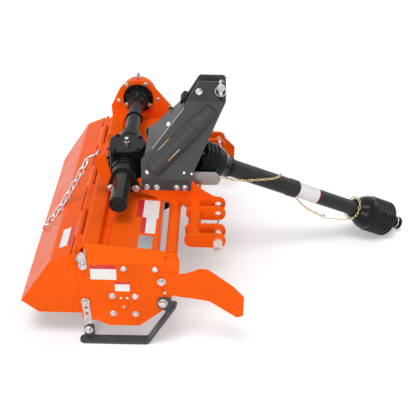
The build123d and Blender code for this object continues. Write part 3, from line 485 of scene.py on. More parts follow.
half_square = 0.039
stud = dome_bolt(0.0055, 0.0030)
for name, pattern, spots in (
    ("bearing_bolts", hex_bolt(0.016, 0.0065, 0.0115),
     [(x, z) for x in (-half_square, half_square) for z in (-half_square, half_square)]),
    ("stiffener_bolts", dome_bolt(0.0110, 0.0052), [(0.003, 0.156), (0.109, 0.156)]),
    ("bearing_studs", stud, [(-0.010, 0.029), (0.012, 0.030), (0.1436, 0.0582)]),
):
    fasten(pattern, name, [(rotor.x + x, right_face, rotor.z + z) for x, z in spots], (0, -1, 0))

# ---------------------------------- bearing cap
# The right bearing's painted cap carries a zinc-plated grease nipple, screwed into its middle:
# a hex foot, a neck and a ball.
nipple = begin("cylinder", vertices=6, radius=0.0052, depth=0.004, location=(0, 0, 0.002))
work(nipple, (pull, 0), (swell, 0.55), (pull, 0.003), (pull, 0.0015), (swell, 1.35),
     (pull, 0.0015), (swell, 0.75))
keep(soften(nipple, 0.0003))


def middle_of(node):
    """The middle of the box round a piece of the frame."""
    low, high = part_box(node)
    return (low + high) / 2


cap_mid = middle_of("bearing_cap")
fasten(nipple, "bearing_nipple", [(cap_mid.x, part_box("bearing_cap")[0].y, cap_mid.z)], (0, -1, 0))


# ---------------------------------- blank plates
# Thin printed vinyl plates on the side plate, the deck and the tailgate, each white with a
# red band, and a bare aluminium data plate. All are blank.
def lay_plate(name, centre, along, up, long, wide, thick=0.0004):
    """A thin plate with rounded corners, centred on a flat face, up being its short side."""
    along, up = Vector(along).normalized(), Vector(up).normalized()
    plate = begin("plane", size=1)
    open_mesh()
    choose_all()
    bpy.ops.transform.resize(value=(long, wide, 1))
    bpy.ops.mesh.bevel(offset=min(long, wide) * 0.06, segments=4, affect="VERTICES")
    pull(thick)
    choose_all()
    bpy.ops.mesh.normals_make_consistent(inside=False)
    close_mesh()
    plate.data.transform(seat(centre, along, up, along.cross(up)))
    plate.name = name
    plate.data.name = name
    return soften(plate, thick * 0.4, 1)


def vinyl(name, start, way, band, ground=(0.80, 0.79, 0.77), ink=(0.62, 0.012, 0.02)):
    """Printed vinyl: an ink band within band metres of start, faint grime and a soft gloss."""
    made, shader, wire = finish(name, ground, rough=0.35, specular=0.4)
    masked = wire.along(start, way) < band
    grime = wire.noise(45, 3).fade(0.45, 0.8)
    base = wire.tint(masked, ground, ink)
    base = wire.tint(grime * 0.25, base, (0.45, 0.40, 0.36))
    join_up(made, shader, Base_Color=base, Roughness=grime * 0.2 + 0.3,
            Normal=wire.bump(0.25, 0.00004, wire.noise(300, 2)))
    return made


deck_slope = Vector((0.164, 0, -0.012)).normalized()
deck_spot = Vector((rotor.x - 0.048, 0, 0.389))
gate_slope = Vector((0.070, 0, 0.032)).normalized()
gate_spot = Vector((hinge["tailgate_hinge"].x - 0.087, 0, 0.333))
x_way, y_way, z_way = Vector((1, 0, 0)), Vector((0, 1, 0)), Vector((0, 0, 1))


def on_slope(spot, slope, x, y):
    """A point on a sloping sheet's surface, by its x and y."""
    return Vector((x, y, spot.z + (x - spot.x) * slope.z / slope.x))


for name, body, centre, along, up, long, wide, band, band_way in (
    ("plate_side_upper", "machine", Vector((-0.426, right_face, 0.3015)),
     x_way, z_way, 0.088, 0.061, 0.016, -z_way),
    ("plate_side_lower", "machine", Vector((-0.3635, right_face, 0.242)),
     x_way, z_way, 0.051, 0.040, 0.010, -z_way),
    ("plate_deck_front", "machine", on_slope(deck_spot, deck_slope, -0.2915, -0.238),
     deck_slope, y_way, 0.079, 0.114, 0.023, deck_slope),
    ("plate_deck_middle", "machine", on_slope(deck_spot, deck_slope, -0.284, -0.3405),
     deck_slope, y_way, 0.052, 0.095, 0.017, deck_slope),
    ("plate_tailgate", "tailgate", on_slope(gate_spot, gate_slope, -0.563, -0.3835),
     gate_slope, y_way, 0.046, 0.108, 0.015, -gate_slope),
):
    plate = lay_plate(name, centre, along, up, long, wide)
    reach = long if abs(band_way.dot(along.normalized())) > 0.9 else wide
    edge = centre - band_way * reach / 2
    give(plate, vinyl(name + "_print", edge, band_way, band), body)

data_plate = lay_plate("plate_data", on_slope(deck_spot, deck_slope, -0.287, -0.4405),
                       deck_slope, y_way, 0.048, 0.075)
give(data_plate, metal("data_plate_metal", (0.42, 0.42, 0.43), (0.60, 0.60, 0.61), rough=0.34,
                       streak=(1, 12, 1)), "machine")

# ---------------------------------- skid and strap bolts
# Each skid bar hangs on a thick hex bolt at its front lug and on a slotted, zinc-plated
# strap at its rear. The skids have a satin black-grey coat, paler along its edges as a
# painted highlight.
skid_coat = paint("skid_coat", (0.075, 0.077, 0.079), (0.22, 0.22, 0.22), (0.20, 0.19, 0.18),
                  rough=0.30, specular=0.5)
cover(skid_coat, "skid_right", "skid_left")

zinc = metal("zinc_plate", (0.52, 0.52, 0.52), (0.74, 0.74, 0.73), rough=0.26)
dress(zinc, "zinc_plate")
cover(orange, "hinge_rod")

big_hex, thick_hex = hex_bolt(0.019, 0.0080, 0.0150), hex_bolt(0.024, 0.0105, 0.0165)
sides = (("right", -1), ("left", 1))
for side, out in sides:
    end = 0 if out < 0 else 1
    strap_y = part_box("skid_strap_" + side)[end].y
    link_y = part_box("hinge_link_" + side)[end].y
    plate_y = right_face if out < 0 else left_face
    fasten(big_hex, "strap_bolts_" + side,
           [(rotor.x - 0.1345, strap_y, 0.172), (rotor.x - 0.128, strap_y + out * 0.008, 0.050)],
           (0, out, 0))
    fasten(big_hex, "hinge_link_bolt_" + side, [(rotor.x - 0.134, link_y, 0.327)], (0, out, 0))
    fasten(thick_hex, "skid_lug_bolt_" + side, [(rotor.x + 0.135, plate_y + out * 0.008, 0.181)],
           (0, out, 0))
    tab_y = plate_y + out * 0.004
    back = 0 if out < 0 else 0.020
    fasten(big_hex, "deflector_bolt_" + side, [(rotor.x + 0.1305 - back, tab_y, 0.271)],
           (0, out, 0))
    fasten(stud, "deflector_stud_" + side, [(rotor.x + 0.141 - back, tab_y, 0.221)], (0, out, 0))

# ---------------------------------- rotor
# A heavy tube with six welded flanges. Each forged tine is held by two hex bolts through its
# flange, all under one thin coat of gloss black.
black = paint("black_gloss", (0.009, 0.009, 0.010), (0.06, 0.06, 0.06), (0.03, 0.03, 0.03),
              rough=0.14, peel=0.00012, specular=0.16)
in_black = {"made": black, "slot": "black_paint"}
dress(**in_black)

tine_hex = hex_bolt(0.017, 0.0070, 0.0100)
flange_first, flange_pitch, flange_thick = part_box("rotor_flanges")[0].y, 0.158, 0.008
tine_thick, bolt_reach, bolt_half_gap = 0.007, 0.058, 0.011
end_hand = {0: 1, 5: -1}
for hand, name in ((1, "tine_bolts_left"), (-1, "tine_bolts_right")):
    heads, nuts = [], []
    for i in range(6):
        if end_hand.get(i, hand) != hand:
            continue
        flange_y = flange_first + i * flange_pitch
        head_y = flange_y + (flange_thick + tine_thick if hand > 0 else -tine_thick)
        nut_y = flange_y + (0 if hand > 0 else flange_thick)
        for j in range(4):
            if i in end_hand or (j % 2 == 0) == (hand > 0):
                swing = radians(j * 90 + i * 25)
                for off in (-bolt_half_gap, bolt_half_gap):
                    x = rotor.x + off * cos(swing) + bolt_reach * sin(swing)
                    z = rotor.z - off * sin(swing) + bolt_reach * cos(swing)
                    heads.append((x, head_y, z))
                    nuts.append((x, nut_y, z))
    fasten(tine_hex, name, heads, (0, hand, 0), "rotor", **in_black)
    fasten(tine_hex, name.replace("bolts", "nuts"), nuts, (0, -hand, 0), "rotor", **in_black)


def weld_ring(radius, bead, ripples):
    """A rippled fillet weld round a bar or boss, lying flat round Z."""
    ring = begin("torus", major_segments=ripples * 3, minor_segments=8,
                 major_radius=radius, minor_radius=bead)
    open_mesh()
    for count in range(ripples):
        angle = 2 * pi * count / ripples
        choose(lambda v, a=angle: abs((atan2(v.co.y, v.co.x) - a + pi) % (2 * pi) - pi) < 0.01,
               "verts")
        spot = (radius * cos(angle), radius * sin(angle), 0)
        swell(0.78, 0.78, center_override=spot)
    close_mesh()
    bpy.ops.object.shade_smooth()
    return keep(ring)


fasten(weld_ring(0.0325, 0.0028, 30), "flange_welds",
       [(rotor.x, flange_first + i * flange_pitch + face, rotor.z) for i in range(6)
        for face in (0, flange_thick)], (0, 1, 0), "rotor", **in_black)

# ---------------------------------- hitch brackets
# Two thick plates are welded to a round bar that crosses under the deck's front edge. Weld
# beads run round the bar at each plate and at both ends.
bar, (bar_low, bar_high) = middle_of("toolbar"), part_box("toolbar")
bracket_faces = [end.y for side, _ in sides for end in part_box("bracket_" + side)]
bracket_y = bracket_faces[0]
fasten(weld_ring(0.0222, 0.0030, 28), "toolbar_welds",
       [(bar.x, y, bar.z) for y in (bar_low.y + 0.001, *bracket_faces, bar_high.y - 0.001)],
       (0, 1, 0), "machine", orange, "orange_paint")

# ---------------------------------- gearbox
# A black iron casting with a bolted lid, a bolted rear cover with a raised boss, and bolts
# round the input bearing. The bolts' heads are under the same gloss black.
lid_low, lid_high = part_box("gearbox_lid")
pto_y = where["top_link_pin"].y
mid_x = middle_of("gearbox_breather").x
box_half = 0.062
fasten(hex_bolt(0.010, 0.0035, 0.0065), "lid_bolts",
       [(mid_x + x, pto_y + y, lid_high.z) for x, y in
        ((0.045, -0.045), (-0.040, -0.054), (-0.040, 0.054), (0.045, 0.045))],
       (0, 0, 1), **in_black)

shaft_x, shaft_z = middle_of("cross_tube").x, middle_of("cross_tube").z


def ring_of(centre, across, radius, angles):
    """Places round an upright circle, by their angles up from the direction across."""
    return [Vector(centre) + radius * (cos(radians(a)) * across + sin(radians(a)) * z_way)
            for a in angles]


case_hex = hex_bolt(0.013, 0.0065, 0.0085)
fasten(case_hex, "input_bearing_bolts",
       [spot for spot in ring_of((mid_x + box_half, pto_y, shaft_z), y_way, 0.052,
                                 (40, 140, 220, 320)) if spot.z < lid_low.z - 0.006],
       (1, 0, 0), **in_black)

cover_z, cover_thick = shaft_z - 0.004, 0.006
rear_cover = begin("cylinder", vertices=48, radius=0.044, depth=cover_thick,
                   location=(0, 0, cover_thick / 2))
work(rear_cover, (inset, 0.013), (pull, 0.005), (swell, 0.9), (inset, 0.008), (shift, -0.003))
fasten(keep(soften(rear_cover, 0.0012, 3)), "gearbox_rear_cover",
       [(mid_x - box_half, pto_y, cover_z)], (-1, 0, 0), **in_black)
fasten(hex_bolt(0.008, 0.004, 0.0052), "rear_cover_bolts",
       ring_of((mid_x - box_half - cover_thick, pto_y, cover_z), y_way, 0.0375,
               range(30, 390, 60)), (-1, 0, 0), **in_black)

# ---------------------------------- breathers
# Plated hex breathers are screwed into the gearbox's lid and into the gear case. The
# gearbox's has a low domed cap.
cover(bolt_zinc, "gearbox_breather", "case_breather")
fasten(dome_bolt(0.0078, 0.004), "gearbox_breather_cap",
       [(mid_x, middle_of("gearbox_breather").y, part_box("gearbox_breather")[1].z - 0.0005)],
       (0, 0, 1))

# ---------------------------------- stub tube
# The right-hand shaft guard is a short tube on an arched flange, coated glossy dark grey. Two
# plated bolts hold it to the bracket, and a pressed cap set into its end closes it.
stub_grey = paint("stub_coat", (0.016, 0.017, 0.017), (0.12, 0.12, 0.12), (0.06, 0.06, 0.06),
                  rough=0.17, specular=0.4)
cover(stub_grey, "stub_tube")
fasten(big_hex, "stub_flange_bolts",
       [(shaft_x + x, bracket_y - 0.008, shaft_z - 0.045) for x in (-0.045, 0.045)], (0, -1, 0))

cap = begin("cylinder", vertices=64, radius=0.0256, depth=0.003)
work(cap, (inset, 0.0035), (pull, -0.0012), (inset, 0.0085), (pull, 0.0012))
fasten(keep(soften(cap, 0.0004)), "stub_cap",
       [(shaft_x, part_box("stub_tube")[0].y + 0.0035, shaft_z)], (0, -1, 0), made=stub_grey)

# ---------------------------------- left plate and gear case
# Plated bolts hold the gear case to the left side plate, with black ones in the shaft's
# flange. The case's pressed outer cover is bolted round its rim.
inner_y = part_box("side_plate_left")[0].y
fasten(hex_bolt(0.014, 0.0060, 0.0095), "case_bolts",
       [(shaft_x + x, inner_y, shaft_z + z) for x, z in
        ((-0.045, 0.059), (0.033, 0.064), (-0.0815, -0.014), (0.085, -0.004))], (0, -1, 0))
flange_mid = (shaft_x, inner_y - 0.010, shaft_z)
fasten(hex_bolt(0.013, 0.006, 0.009), "flange_zinc_bolts",
       ring_of(flange_mid, x_way, 0.0535, (-28, -152)), (0, -1, 0))
fasten(case_hex, "flange_black_bolts",
       ring_of(flange_mid, x_way, 0.052, (90, 35, 145, -62, -118)), (0, -1, 0), **in_black)
case_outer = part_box("gear_case")[1].y - 0.005
case_tilt = degrees(atan2(rotor.z - shaft_z, rotor.x - shaft_x))
rim = []
for x, z, reach, first, last, count in ((shaft_x, shaft_z, 0.052, 96, 264, 5),
                                        (rotor.x, rotor.z, 0.070, -84, 84, 6)):
    rim += ring_of((x, case_outer, z), x_way, reach,
                   [case_tilt + first + (last - first) * k / (count - 1) for k in range(count)])
for start, end in ((rim[0], rim[10]), (rim[4], rim[5])):
    rim += [start.lerp(end, share) for share in (1 / 3, 2 / 3)]
fasten(case_hex, "case_cover_bolts", rim, (0, 1, 0))

# ---------------------------------- lower hitch
# Three flame-cut ears are welded to a cross boss on each side. A plated pin passes the outer
# two and is kept by a sprung linch pin with a ring.
link_pin, boss_back = where["lower_link_pin_right"], 0.0425
ear_weld = weld_ring(0.0242, 0.0026, 30)
for side, out in sides:
    fasten(ear_weld, "ear_welds_" + side,
           [(link_pin.x - boss_back, pto_y + out * face, link_pin.z)
            for face in (0.139, 0.192, 0.204, 0.302, 0.314, 0.3615)],
           (0, 1, 0), "machine", orange, "orange_paint")

ring_r = 0.0190
spring = begin("torus", major_segments=48, minor_segments=10, major_radius=ring_r,
               minor_radius=0.0019, rotation=(pi / 2, 0, 0))
bpy.ops.object.shade_smooth()
shank = begin("cylinder", vertices=20, radius=0.0042, depth=0.046,
              location=(0, 0, 0.002 - ring_r))
work(shank, (pull, 0.002), (swell, 1.7), (pull, 0.006))
work(shank, (inset, 0.0012), (shift, -0.002), on=lambda face: face.normal.z < -0.9)
linch = keep(make_one([soften(shank, 0.0006), spring], "linch_pattern"))
for side, out in sides:
    fasten(linch, "linch_pin_" + side, [(link_pin.x, pto_y + out * 0.291, link_pin.z + 0.014)],
           (0.25, 0, 0.97))
cover(metal("pin_zinc", (0.80, 0.78, 0.75), (0.94, 0.92, 0.89), rough=0.45),
      "hitch_pin_right", "hitch_pin_left")

# ---------------------------------- mast
# Two bent plates under a satin dark grey coat, bolted to the brackets through their feet and
# tied at the head by a spacer bolt, with a folded cover between them.
grey = paint("grey_coat", (0.060, 0.060, 0.062), (0.20, 0.20, 0.20), (0.13, 0.13, 0.13),
             rough=0.40)
dress(grey, "grey_paint")

pin_x = where["top_link_pin"].x + 0.001
foot_z, head_z = 0.470, 0.728
foot_half, leans_in = 0.145, 0.114
lean = atan2(leans_in, head_z - foot_z)
head_spot = Vector((pin_x - 0.078, pto_y, shaft_z + 0.291))


def on_mast(x, z, out):
    """A point on the outer face of a plate's leaning part."""
    return (pin_x + x, pto_y + out * (foot_half - (z - foot_z) * leans_in / (head_z - foot_z)),
            z)


mast_hex = hex_bolt(0.016, 0.0070, 0.0108)
mast_coach = dome_bolt(0.0092, 0.0048)
mast_small = dome_bolt(0.0060, 0.0036)
head_hex = hex_bolt(0.018, 0.0080, 0.0125)
for side, out in sides:
    foot_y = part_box("mast_plate_" + side)[0 if out < 0 else 1].y
    tilt = (0, out * cos(lean), sin(lean))
    fasten(mast_hex, "mast_foot_bolts_" + side,
           [(pin_x + x, foot_y, 0.4375) for x in (-0.2594, -0.2231, -0.1508, -0.1218)],
           (0, out, 0))
    fasten(mast_coach, "mast_coach_bolts_" + side,
           [on_mast(-0.2589, 0.4919, out), on_mast(-0.1843, 0.6508, out)], tilt)
    fasten(mast_small, "mast_small_bolts_" + side,
           [on_mast(-0.126, 0.4931, out), on_mast(-0.099, 0.4904, out)], tilt)
    fasten(head_hex, "mast_head_bolt_" + side, [head_spot + out * 0.031 * y_way], (0, out, 0))

spacer = settle(begin("cylinder", vertices=40, radius=0.0120, depth=0.0498,
                      location=head_spot, rotation=(pi / 2, 0, 0)))
spacer.name = "mast_spacer"
work(spacer, (inset, 0.004), on=lambda face: abs(face.normal.y) > 0.9)
give(soften(spacer, 0.0008), zinc, "machine")

# ---------------------------------- mast buffer
# A moulded block of black rubber, with a lip along its top, is pinched over the upper end of
# the mast's cover, behind the head.
buffer_spot = (pin_x - 0.1345, pto_y, shaft_z + 0.252)
buffer = begin("cube", size=1, location=buffer_spot)
buffer.scale = (0.010, 0.070, 0.022)
buffer.name = "mast_buffer"
settle(buffer)
open_mesh()
choose(lambda face: face.normal.z > 0.9)
inset(0.003)
pull(0.006, ahead=0.004)
choose_all()
bpy.ops.transform.rotate(value=radians(-38), orient_axis="Y", center_override=buffer_spot)
close_mesh()
rubber = paint("rubber_black", (0.010, 0.010, 0.010), (0.03, 0.03, 0.03), (0.05, 0.05, 0.05),
               rough=0.55, peel=0.0001, specular=0.2)
give(soften(buffer, 0.0025, 3), rubber, "machine")

# ---------------------------------- mast stripes
# A fine pale line along the edge of the mast's cover is a painted highlight. Two short stripes
# in white and yellow dress the mast, the lower one carried on the handbook can.
def lay_stripe(name, start, end, out, wide, first, second=None, share=0.5):
    """A stripe of thin film from start to end, in one colour or in two."""
    start, end, out = Vector(start), Vector(end), Vector(out).normalized()
    run = (end - start).normalized()
    length = (end - start).length
    film = lay_plate(name, (start + end) / 2, run, out.cross(run), length, wide, 0.0003)
    made = vinyl(name + "_film", start, run, length * share if second else 0.0,
                 ground=second or first, ink=first)
    return give(film, made, "machine")


white, yellow = (0.72, 0.72, 0.72), (0.83, 0.42, 0.02)
lean_out = Vector((0, -cos(lean), sin(lean)))
hitch = Vector((pin_x, pto_y, shaft_z))
# The fine pale line along the cover's edge is a painted highlight.
lay_stripe("mast_line", hitch + Vector((-0.2419, -0.1006, 0.0946)) + lean_out * 0.0006,
           hitch + Vector((-0.1302, -0.0406, 0.2304)) + lean_out * 0.0006, lean_out, 0.0022,
           (0.50, 0.50, 0.50))
lay_stripe("mast_stripe", hitch + Vector((-0.2204, -0.1029, 0.0902)),
           hitch + Vector((-0.1817, -0.0859, 0.1287)), lean_out, 0.0032, white, yellow, 0.55)

can_off, can_r = 0.033, 0.0340
can_foot = Vector((pin_x - 0.241, pto_y - foot_half + can_off * sin(lean),
                   foot_z + can_off * cos(lean)))
slope = radians(46.6)
can_way = Vector((cos(slope), sin(slope) * sin(lean), sin(slope) * cos(lean)))
crest = (can_way.cross(lean_out) * 0.0167 + lean_out * 0.0296).normalized()
lay_stripe("can_stripe", can_foot + can_way * 0.0674 + crest * can_r,
           can_foot + can_way * 0.1261 + crest * can_r, crest, 0.0032, yellow, white, 0.40)

# ---------------------------------- mast foot seam
# The foot of the right mast plate has a short upright weld below its fold, rippled as it was
# laid and painted over with the plate.
def cut_at(heights):
    """Cuts a ring of edges round the mesh at each height."""
    for height in heights:
        choose_all()
        bpy.ops.mesh.bisect(plane_co=(0, 0, height), plane_no=(0, 0, 1))


def draw_in(heights, reach, share):
    """Draws the points within reach of each height in to a share of their radius."""
    for height in heights:
        choose(lambda v, h=height: abs(v.co.z - h) < reach, "verts")
        swell(share, center_override=(0, 0, height))


seam_long, ripple = 0.042, 0.0021
seam = begin("cylinder", vertices=12, radius=0.0030, depth=seam_long)
heights = [ripple * cut - seam_long / 2 for cut in range(20)]
open_mesh()
cut_at(heights[1:])
draw_in(heights[::2], 0.0002, 0.75)
close_mesh()
seam.location = (pin_x - 0.174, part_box("mast_plate_right")[0].y, shaft_z - 0.029)
seam.name = "mast_foot_seam"
give(soften(seam, 0.0003), grey, "machine")

# ---------------------------------- top link pin
# A forged pin with a domed head crosses the mast's head. A ringed linch pin holds its far end,
# and a spare one hangs at its near end.
bright = metal("bright_steel", (0.50, 0.50, 0.50), (0.68, 0.68, 0.67), rough=0.22)
cover(bright, "top_link_pin")
(pin_low, pin_high), pin_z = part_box("top_link_pin"), middle_of("top_link_pin").z
fasten(linch, "linch_pin_top", [(pin_x - 0.007, pin_high.y - 0.009, pin_z - 0.002)],
       (-0.97, 0, -0.25))
fasten(linch, "linch_pin_spare", [(pin_x - 0.002, pin_low.y + 0.0005, pin_z - 0.012)],
       (0.06, 0, -1), "machine", bright, spin=pi / 2)


# ---------------------------------- chains
# A stout zinc-plated chain hangs by an S-hook from a bracket to a staple on the tailgate. Two
# light yellow-plated chains keep the driveline's guards from turning. Links are bent wire.
def chain_link(thick, long, wide):
    """A stadium link of round wire, long between its outsides, lying in the XZ plane."""
    link = settle(begin("torus", major_segments=12, minor_segments=6,
                        major_radius=wide / 2 - thick, minor_radius=thick,
                        rotation=(pi / 2, 0, 0)))
    open_mesh()
    for way in (1, -1):
        choose(lambda v, w=way: v.co.z * w > thick * 0.1 + 0.0001, "verts")
        shift(way * (long - wide) / 2)
    close_mesh()
    bpy.ops.object.shade_smooth()
    return keep(link)


def lay_links(name, link, points, pitch, made, lift=None):
    """Links along a smooth line through points, each a quarter turn from the last."""
    line = []
    ends = [2 * points[0] - points[1], *points, 2 * points[-1] - points[-2]]
    fine = 40
    for a, b, c, d in zip(ends, ends[1:], ends[2:], ends[3:]):
        for k in range(fine):
            t = k / fine
            line.append(0.5 * (2 * b + (c - a) * t + (2 * a - 5 * b + 4 * c - d) * t * t
                               + (3 * b - a - 3 * c + d) * t ** 3))
    line.append(points[-1])
    spots, gone, due = [], 0.0, pitch / 2
    for one, two in zip(line, line[1:]):
        step = (two - one).length
        while gone + step >= due:
            spots.append((one.lerp(two, (due - gone) / step), (two - one).normalized()))
            due += pitch
        gone += step
    copies = []
    for count, (spot, way) in enumerate(spots):
        away = (lift(spot) if lift else z_way).cross(way).normalized()
        quarter = Matrix.Rotation(radians(45 if count % 2 else -45), 4, "Z")
        copies.append(copy_of(link, name, seat(spot, away, way.cross(away), way) @ quarter))
    chain = make_one(copies, name)
    chain.data.materials.clear()
    chain.data.materials.append(made)
    return chain


def bent_wire(points, thick):
    """A wire bent smoothly through points, with closed ends."""
    line = bpy.data.curves.new("wire", "CURVE")
    line.dimensions = "3D"
    spline = line.splines.new("BEZIER")
    spline.bezier_points.add(len(points) - 1)
    for knot, point in zip(spline.bezier_points, points):
        knot.co = point
        knot.handle_left_type = knot.handle_right_type = "AUTO"
    line.bevel_depth = thick
    line.bevel_resolution = 2
    line.resolution_u = 6
    line.use_fill_caps = True
    made = bpy.data.objects.new("wire", line)
    bpy.context.collection.objects.link(made)
    pick(made)
    bpy.ops.object.convert(target="MESH")
    bpy.ops.object.shade_smooth()
    return bpy.context.object


bright_zinc = metal("chain_zinc", (0.62, 0.62, 0.62), (0.88, 0.88, 0.87), rough=0.2)
pivot = hinge["tailgate_hinge"]
gate_route = [Vector((pivot.x + x, bracket_y + y, pivot.z + z)) for x, y, z in (
    (0.008, -0.008, 0.168), (-0.036, 0.008, 0.078), (-0.083, 0.024, -0.010),
    (-0.126, 0.037, -0.084), (-0.166, 0.049, -0.144))]
big_link = chain_link(0.0037, 0.047, 0.029)
gate_chain = lay_links("tailgate_chain_links", big_link, gate_route, 0.0345, bright_zinc)
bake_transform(gate_chain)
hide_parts("tailgate_chain")

hook_eye = Vector((pivot.x + 0.0445, bracket_y, pivot.z + 0.190))
s_hook = bent_wire([hook_eye + Vector(step) for step in (
    (0.006, 0.024, -0.010), (0.004, 0.022, 0.004), (0, 0.011, 0.006), (-0.003, -0.002, 0.004),
    (-0.010, -0.011, 0.006), (-0.024, -0.016, 0.002), (-0.036, -0.013, -0.010),
    (-0.043, -0.004, -0.020), (-0.038, 0.004, -0.026), (-0.028, 0.004, -0.024))], 0.0034)
s_hook.name = "chain_hook"
give(s_hook, bright_zinc, "machine")

gate_out = Vector((-0.8364, 0, 0.5482))
staple = begin("torus", major_segments=40, minor_segments=10, major_radius=0.0165,
               minor_radius=0.0038)
open_mesh()
choose_all()
bpy.ops.mesh.bisect(plane_co=(0, -0.004, 0), plane_no=(0, 1, 0), clear_inner=True,
                    use_fill=True)
close_mesh()
bpy.ops.object.shade_smooth_by_angle(angle=crease)
foot = (pivot.x - 0.170, bracket_y + 0.049, pivot.z - 0.1647)
staple.data.transform(seat(foot, gate_out.cross(y_way), gate_out, y_way))
staple.name = "tailgate_staple"
give(staple, bright_zinc, "tailgate")

# ---------------------------------- drive shaft
# Forged yokes and a telescoping shaft in bare oiled steel. The tractor's yoke has a splined
# bore, a black locking collar with bright rims, a push button and a nipple on its cross.
steel = metal("oiled_steel", (0.20, 0.20, 0.21), (0.36, 0.36, 0.37), rough=0.26)
dress(steel, "bare_steel")
run = next(Vector(joint["axis"]).normalized() for joint in frame["joints"]
           if joint["name"] == "driveline_slide")
near, far = hinge["driveline_yaw"], hinge["front_joint_pitch"]
joint_gap = (far - near).length
beam = Vector((-run.y, run.x, 0)).normalized()
rise = run.cross(beam)


def about(along, turned, radius):
    """A place round the driveline, turned up from its right-hand side."""
    a = radians(turned)
    return near + run * along - beam * (radius * cos(a)) + rise * (radius * sin(a))


tooth = begin("cube", size=1)
tooth.scale = (0.0045, 0.0030, 0.050)
settle(tooth)
open_mesh()
choose(lambda face: face.normal.y < -0.9)
bpy.ops.transform.resize(value=(0.7, 1, 1), center_override=(0, 0, 0))
close_mesh()
keep(soften(tooth, 0.0004))
teeth, bore_r = [], 0.0165
for count in range(6):
    a = radians(60 * count + 15)
    outward = beam * cos(a) + rise * sin(a)
    teeth.append(copy_of(tooth, "yoke_spline", seat(
        far + run * 0.086 + outward * bore_r, outward.cross(run), outward, run)))
give(make_one(teeth, "yoke_splines"), steel, "tractor_yoke")

rim_ring = begin("torus", major_segments=64, minor_segments=8, major_radius=0.0252,
                 minor_radius=0.0021)
work(rim_ring, (shift, 0.0006), on=lambda face: face.normal.z > 0.5)
bpy.ops.object.shade_smooth()
fasten(keep(rim_ring), "yoke_rim", [far + run * 0.1400, far + run * 0.1215], run,
       "tractor_yoke", bright, "bare_steel")


def thicken(piece, wall, way):
    """Gives an open shell its wall, inwards for a way of -1 and outwards for 1."""
    skin = piece.modifiers.new("wall", "SOLIDIFY")
    skin.thickness = wall
    skin.offset = way
    bpy.ops.object.modifier_apply(modifier="wall")


collar = begin("cylinder", vertices=56, radius=0.0278, depth=0.040, end_fill_type="NOTHING")
open_mesh()
cut_at((-0.012, -0.009, 0.0005, 0.0035, 0.012, 0.015))
draw_in((-0.0105, 0.002, 0.0135), 0.002, 0.93)
close_mesh()
thicken(collar, 0.0030, -1)
fasten(keep(soften(collar, 0.0005)), "yoke_collar", [far + run * 0.1200], run, "tractor_yoke",
       **in_black)

button = begin("cylinder", vertices=28, radius=0.0062, depth=0.012, location=(0, 0, 0.004))
work(button, (inset, 0.0014), (pull, 0.004))
fasten(keep(soften(button, 0.0008)), "yoke_button", [far + run * 0.092 - beam * 0.0225],
       -beam, "tractor_yoke", bright, "bare_steel")
fasten(nipple, "cross_nipple_front", [far + run * 0.010 + rise * 0.010],
       (run + rise).normalized(), "front_cross")

# ---------------------------------- driveline guards
# Moulded black plastic bells and tubes, slightly glossy, with scuffs, a painted highlight along
# their edges and a faint moulding texture. Pressed clips hold each bell's collar, and one
# blank notice wraps the tube.
plastic = paint("guard_plastic", (0.011, 0.011, 0.012), (0.06, 0.06, 0.06), (0.06, 0.06, 0.06),
                rough=0.18, peel=0.00006, specular=0.3)
dress(plastic, "guard_plastic")
matt_plastic = paint("guard_tube_plastic", (0.032, 0.032, 0.034), (0.09, 0.09, 0.09),
                     (0.07, 0.07, 0.07), rough=0.36, peel=0.00006, specular=0.3)
cover(matt_plastic, "rear_guard_tube", "front_guard_tube")

notice_r, wrap = 0.0303, radians(74)
notice = begin("cylinder", vertices=72, radius=notice_r, depth=0.103, end_fill_type="NOTHING")
open_mesh()
choose(lambda face: face.calc_center_median().x < notice_r * cos(wrap))
bpy.ops.mesh.delete(type="FACE")
close_mesh()
thicken(notice, 0.0005, 1)
bpy.ops.object.shade_smooth_by_angle(angle=crease)
facing = (-beam * cos(radians(22)) + rise * sin(radians(22))).normalized()
middle = near + run * 0.479
notice.data.transform(seat(middle, facing, run.cross(facing), run))
notice.name = "guard_notice"
made, shader, wire = finish("notice_print", (0.72, 0.72, 0.71), rough=0.4, specular=0.35)
end_gap = wire.sum("ABSOLUTE", wire.along(middle, run))
side_gap = wire.along(middle, facing)
border = wire.sum("MAXIMUM", end_gap > 0.0482, side_gap < 0.0105)
grime = wire.noise(40, 3).fade(0.4, 0.8)
base = wire.tint(border, (0.72, 0.72, 0.71), (0.62, 0.012, 0.03))
base = wire.tint(grime * 0.3, base, (0.42, 0.41, 0.40))
join_up(made, shader, Base_Color=base, Roughness=grime * 0.2 + 0.35,
        Normal=wire.bump(0.2, 0.00005, wire.noise(250, 2)))
give(notice, made, "driveline_front")

for name, body, along, radius in (
    ("rear_bell_clips", "driveline_rear", 0.104, 0.0378),
    ("front_bell_clips", "driveline_front", joint_gap - 0.102, 0.0412),
):
    clip = dome_bolt(0.0052, 0.0034)
    clips = [copy_of(clip, name, Matrix.Translation(about(along, t, radius))
                     @ turn_to(rise * sin(radians(t)) - beam * cos(radians(t))))
             for t in (15, 105, 195, 285)]
    give(make_one(clips, name), plastic, body)

# ---------------------------------- guard chains
# The rear chain hooks under the rear bell and climbs over the tube. The front chain runs by a
# ring and a wire hook to a loop of chain round the front bell's neck.
gold = metal("link_plate", (0.58, 0.44, 0.20), (0.80, 0.68, 0.40), rough=0.26)
dress(gold, "yellow_zinc")
small_link = chain_link(0.0016, 0.0205, 0.0108)
bell_mouth = joint_gap + 0.067
wide_end, neck_at = bell_mouth - 0.476, bell_mouth - 0.176


def from_axis(spot):
    """The direction from the driveline's axis out to a point."""
    gap = spot - near
    return (gap - run * gap.dot(run)).normalized()


def route(*places):
    """A route of places round the driveline."""
    return [about(*place) for place in places]


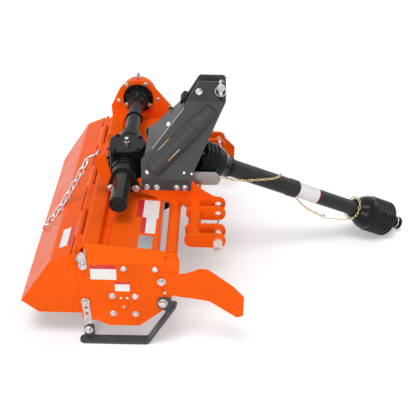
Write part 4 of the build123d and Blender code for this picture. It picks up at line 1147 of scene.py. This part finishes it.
def light_chain(name, line):
    """A light chain along a route, its links facing out from the driveline."""
    return lay_links(name, small_link, line, 0.0152, gold, lift=from_axis)


rear_links = light_chain("rear_chain_links", route(
    (0.104, -55, 0.0415), (0.118, -50, 0.0445), (0.160, -35, 0.0425), (0.230, 8, 0.0405),
    (0.290, 40, 0.0390), (0.322, 72, 0.0380), (0.333, 96, 0.0376), (0.338, 120, 0.0376)))
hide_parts("rear_guard_chain")
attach(rear_links, "driveline_rear")

front_links = light_chain("front_chain_links", route(
    (wide_end + 0.017, -125, 0.0345), (wide_end + 0.030, -104, 0.0385),
    (wide_end + 0.085, -84, 0.060), (wide_end + 0.165, -78, 0.071)))
loop_links = light_chain("loop_chain_links", route(
    *((neck_at - 0.004, t, 0.0452) for t in range(-90, 271, 20))))
front_links = make_one([front_links, loop_links], "front_chain_links")
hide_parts("front_guard_chain")
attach(front_links, "driveline_front")

ring = settle(begin("torus", major_segments=32, minor_segments=8, major_radius=0.0085,
                    minor_radius=0.0014, rotation=(pi / 2, 0, radians(20)),
                    location=about(wide_end + 0.175, -77, 0.0710)))
bpy.ops.object.shade_smooth()

hook = bent_wire(route(
    (wide_end + 0.182, -82, 0.0660), (wide_end + 0.179, -74, 0.0735),
    (wide_end + 0.190, -72, 0.0730), (neck_at - 0.070, -66, 0.0650),
    (neck_at - 0.036, -56, 0.0570), (neck_at - 0.014, -50, 0.0510),
    (neck_at - 0.002, -44, 0.0485), (neck_at - 0.004, -38, 0.0455)), 0.0016)
give(make_one([hook, ring], "front_chain_hook"), gold, "driveline_front")
hook = bent_wire(route((0.098, -66, 0.0390), (0.090, -60, 0.0470), (0.100, -54, 0.0490),
                       (0.112, -52, 0.0450), (0.104, -60, 0.0430)), 0.0014)
give(make_one([hook], "rear_chain_hook"), gold, "driveline_rear")

# ---------------------------------- input shield
# A pressed steel cradle lies round the underside of the input shaft, in front of the gearbox.
# It is in pale grey paint.
pale = paint("shield_coat", (0.40, 0.40, 0.40), (0.6, 0.6, 0.6), (0.52, 0.52, 0.52), rough=0.4)
cover(pale, "input_shield")

for pattern in patterns:
    bpy.data.objects.remove(pattern)
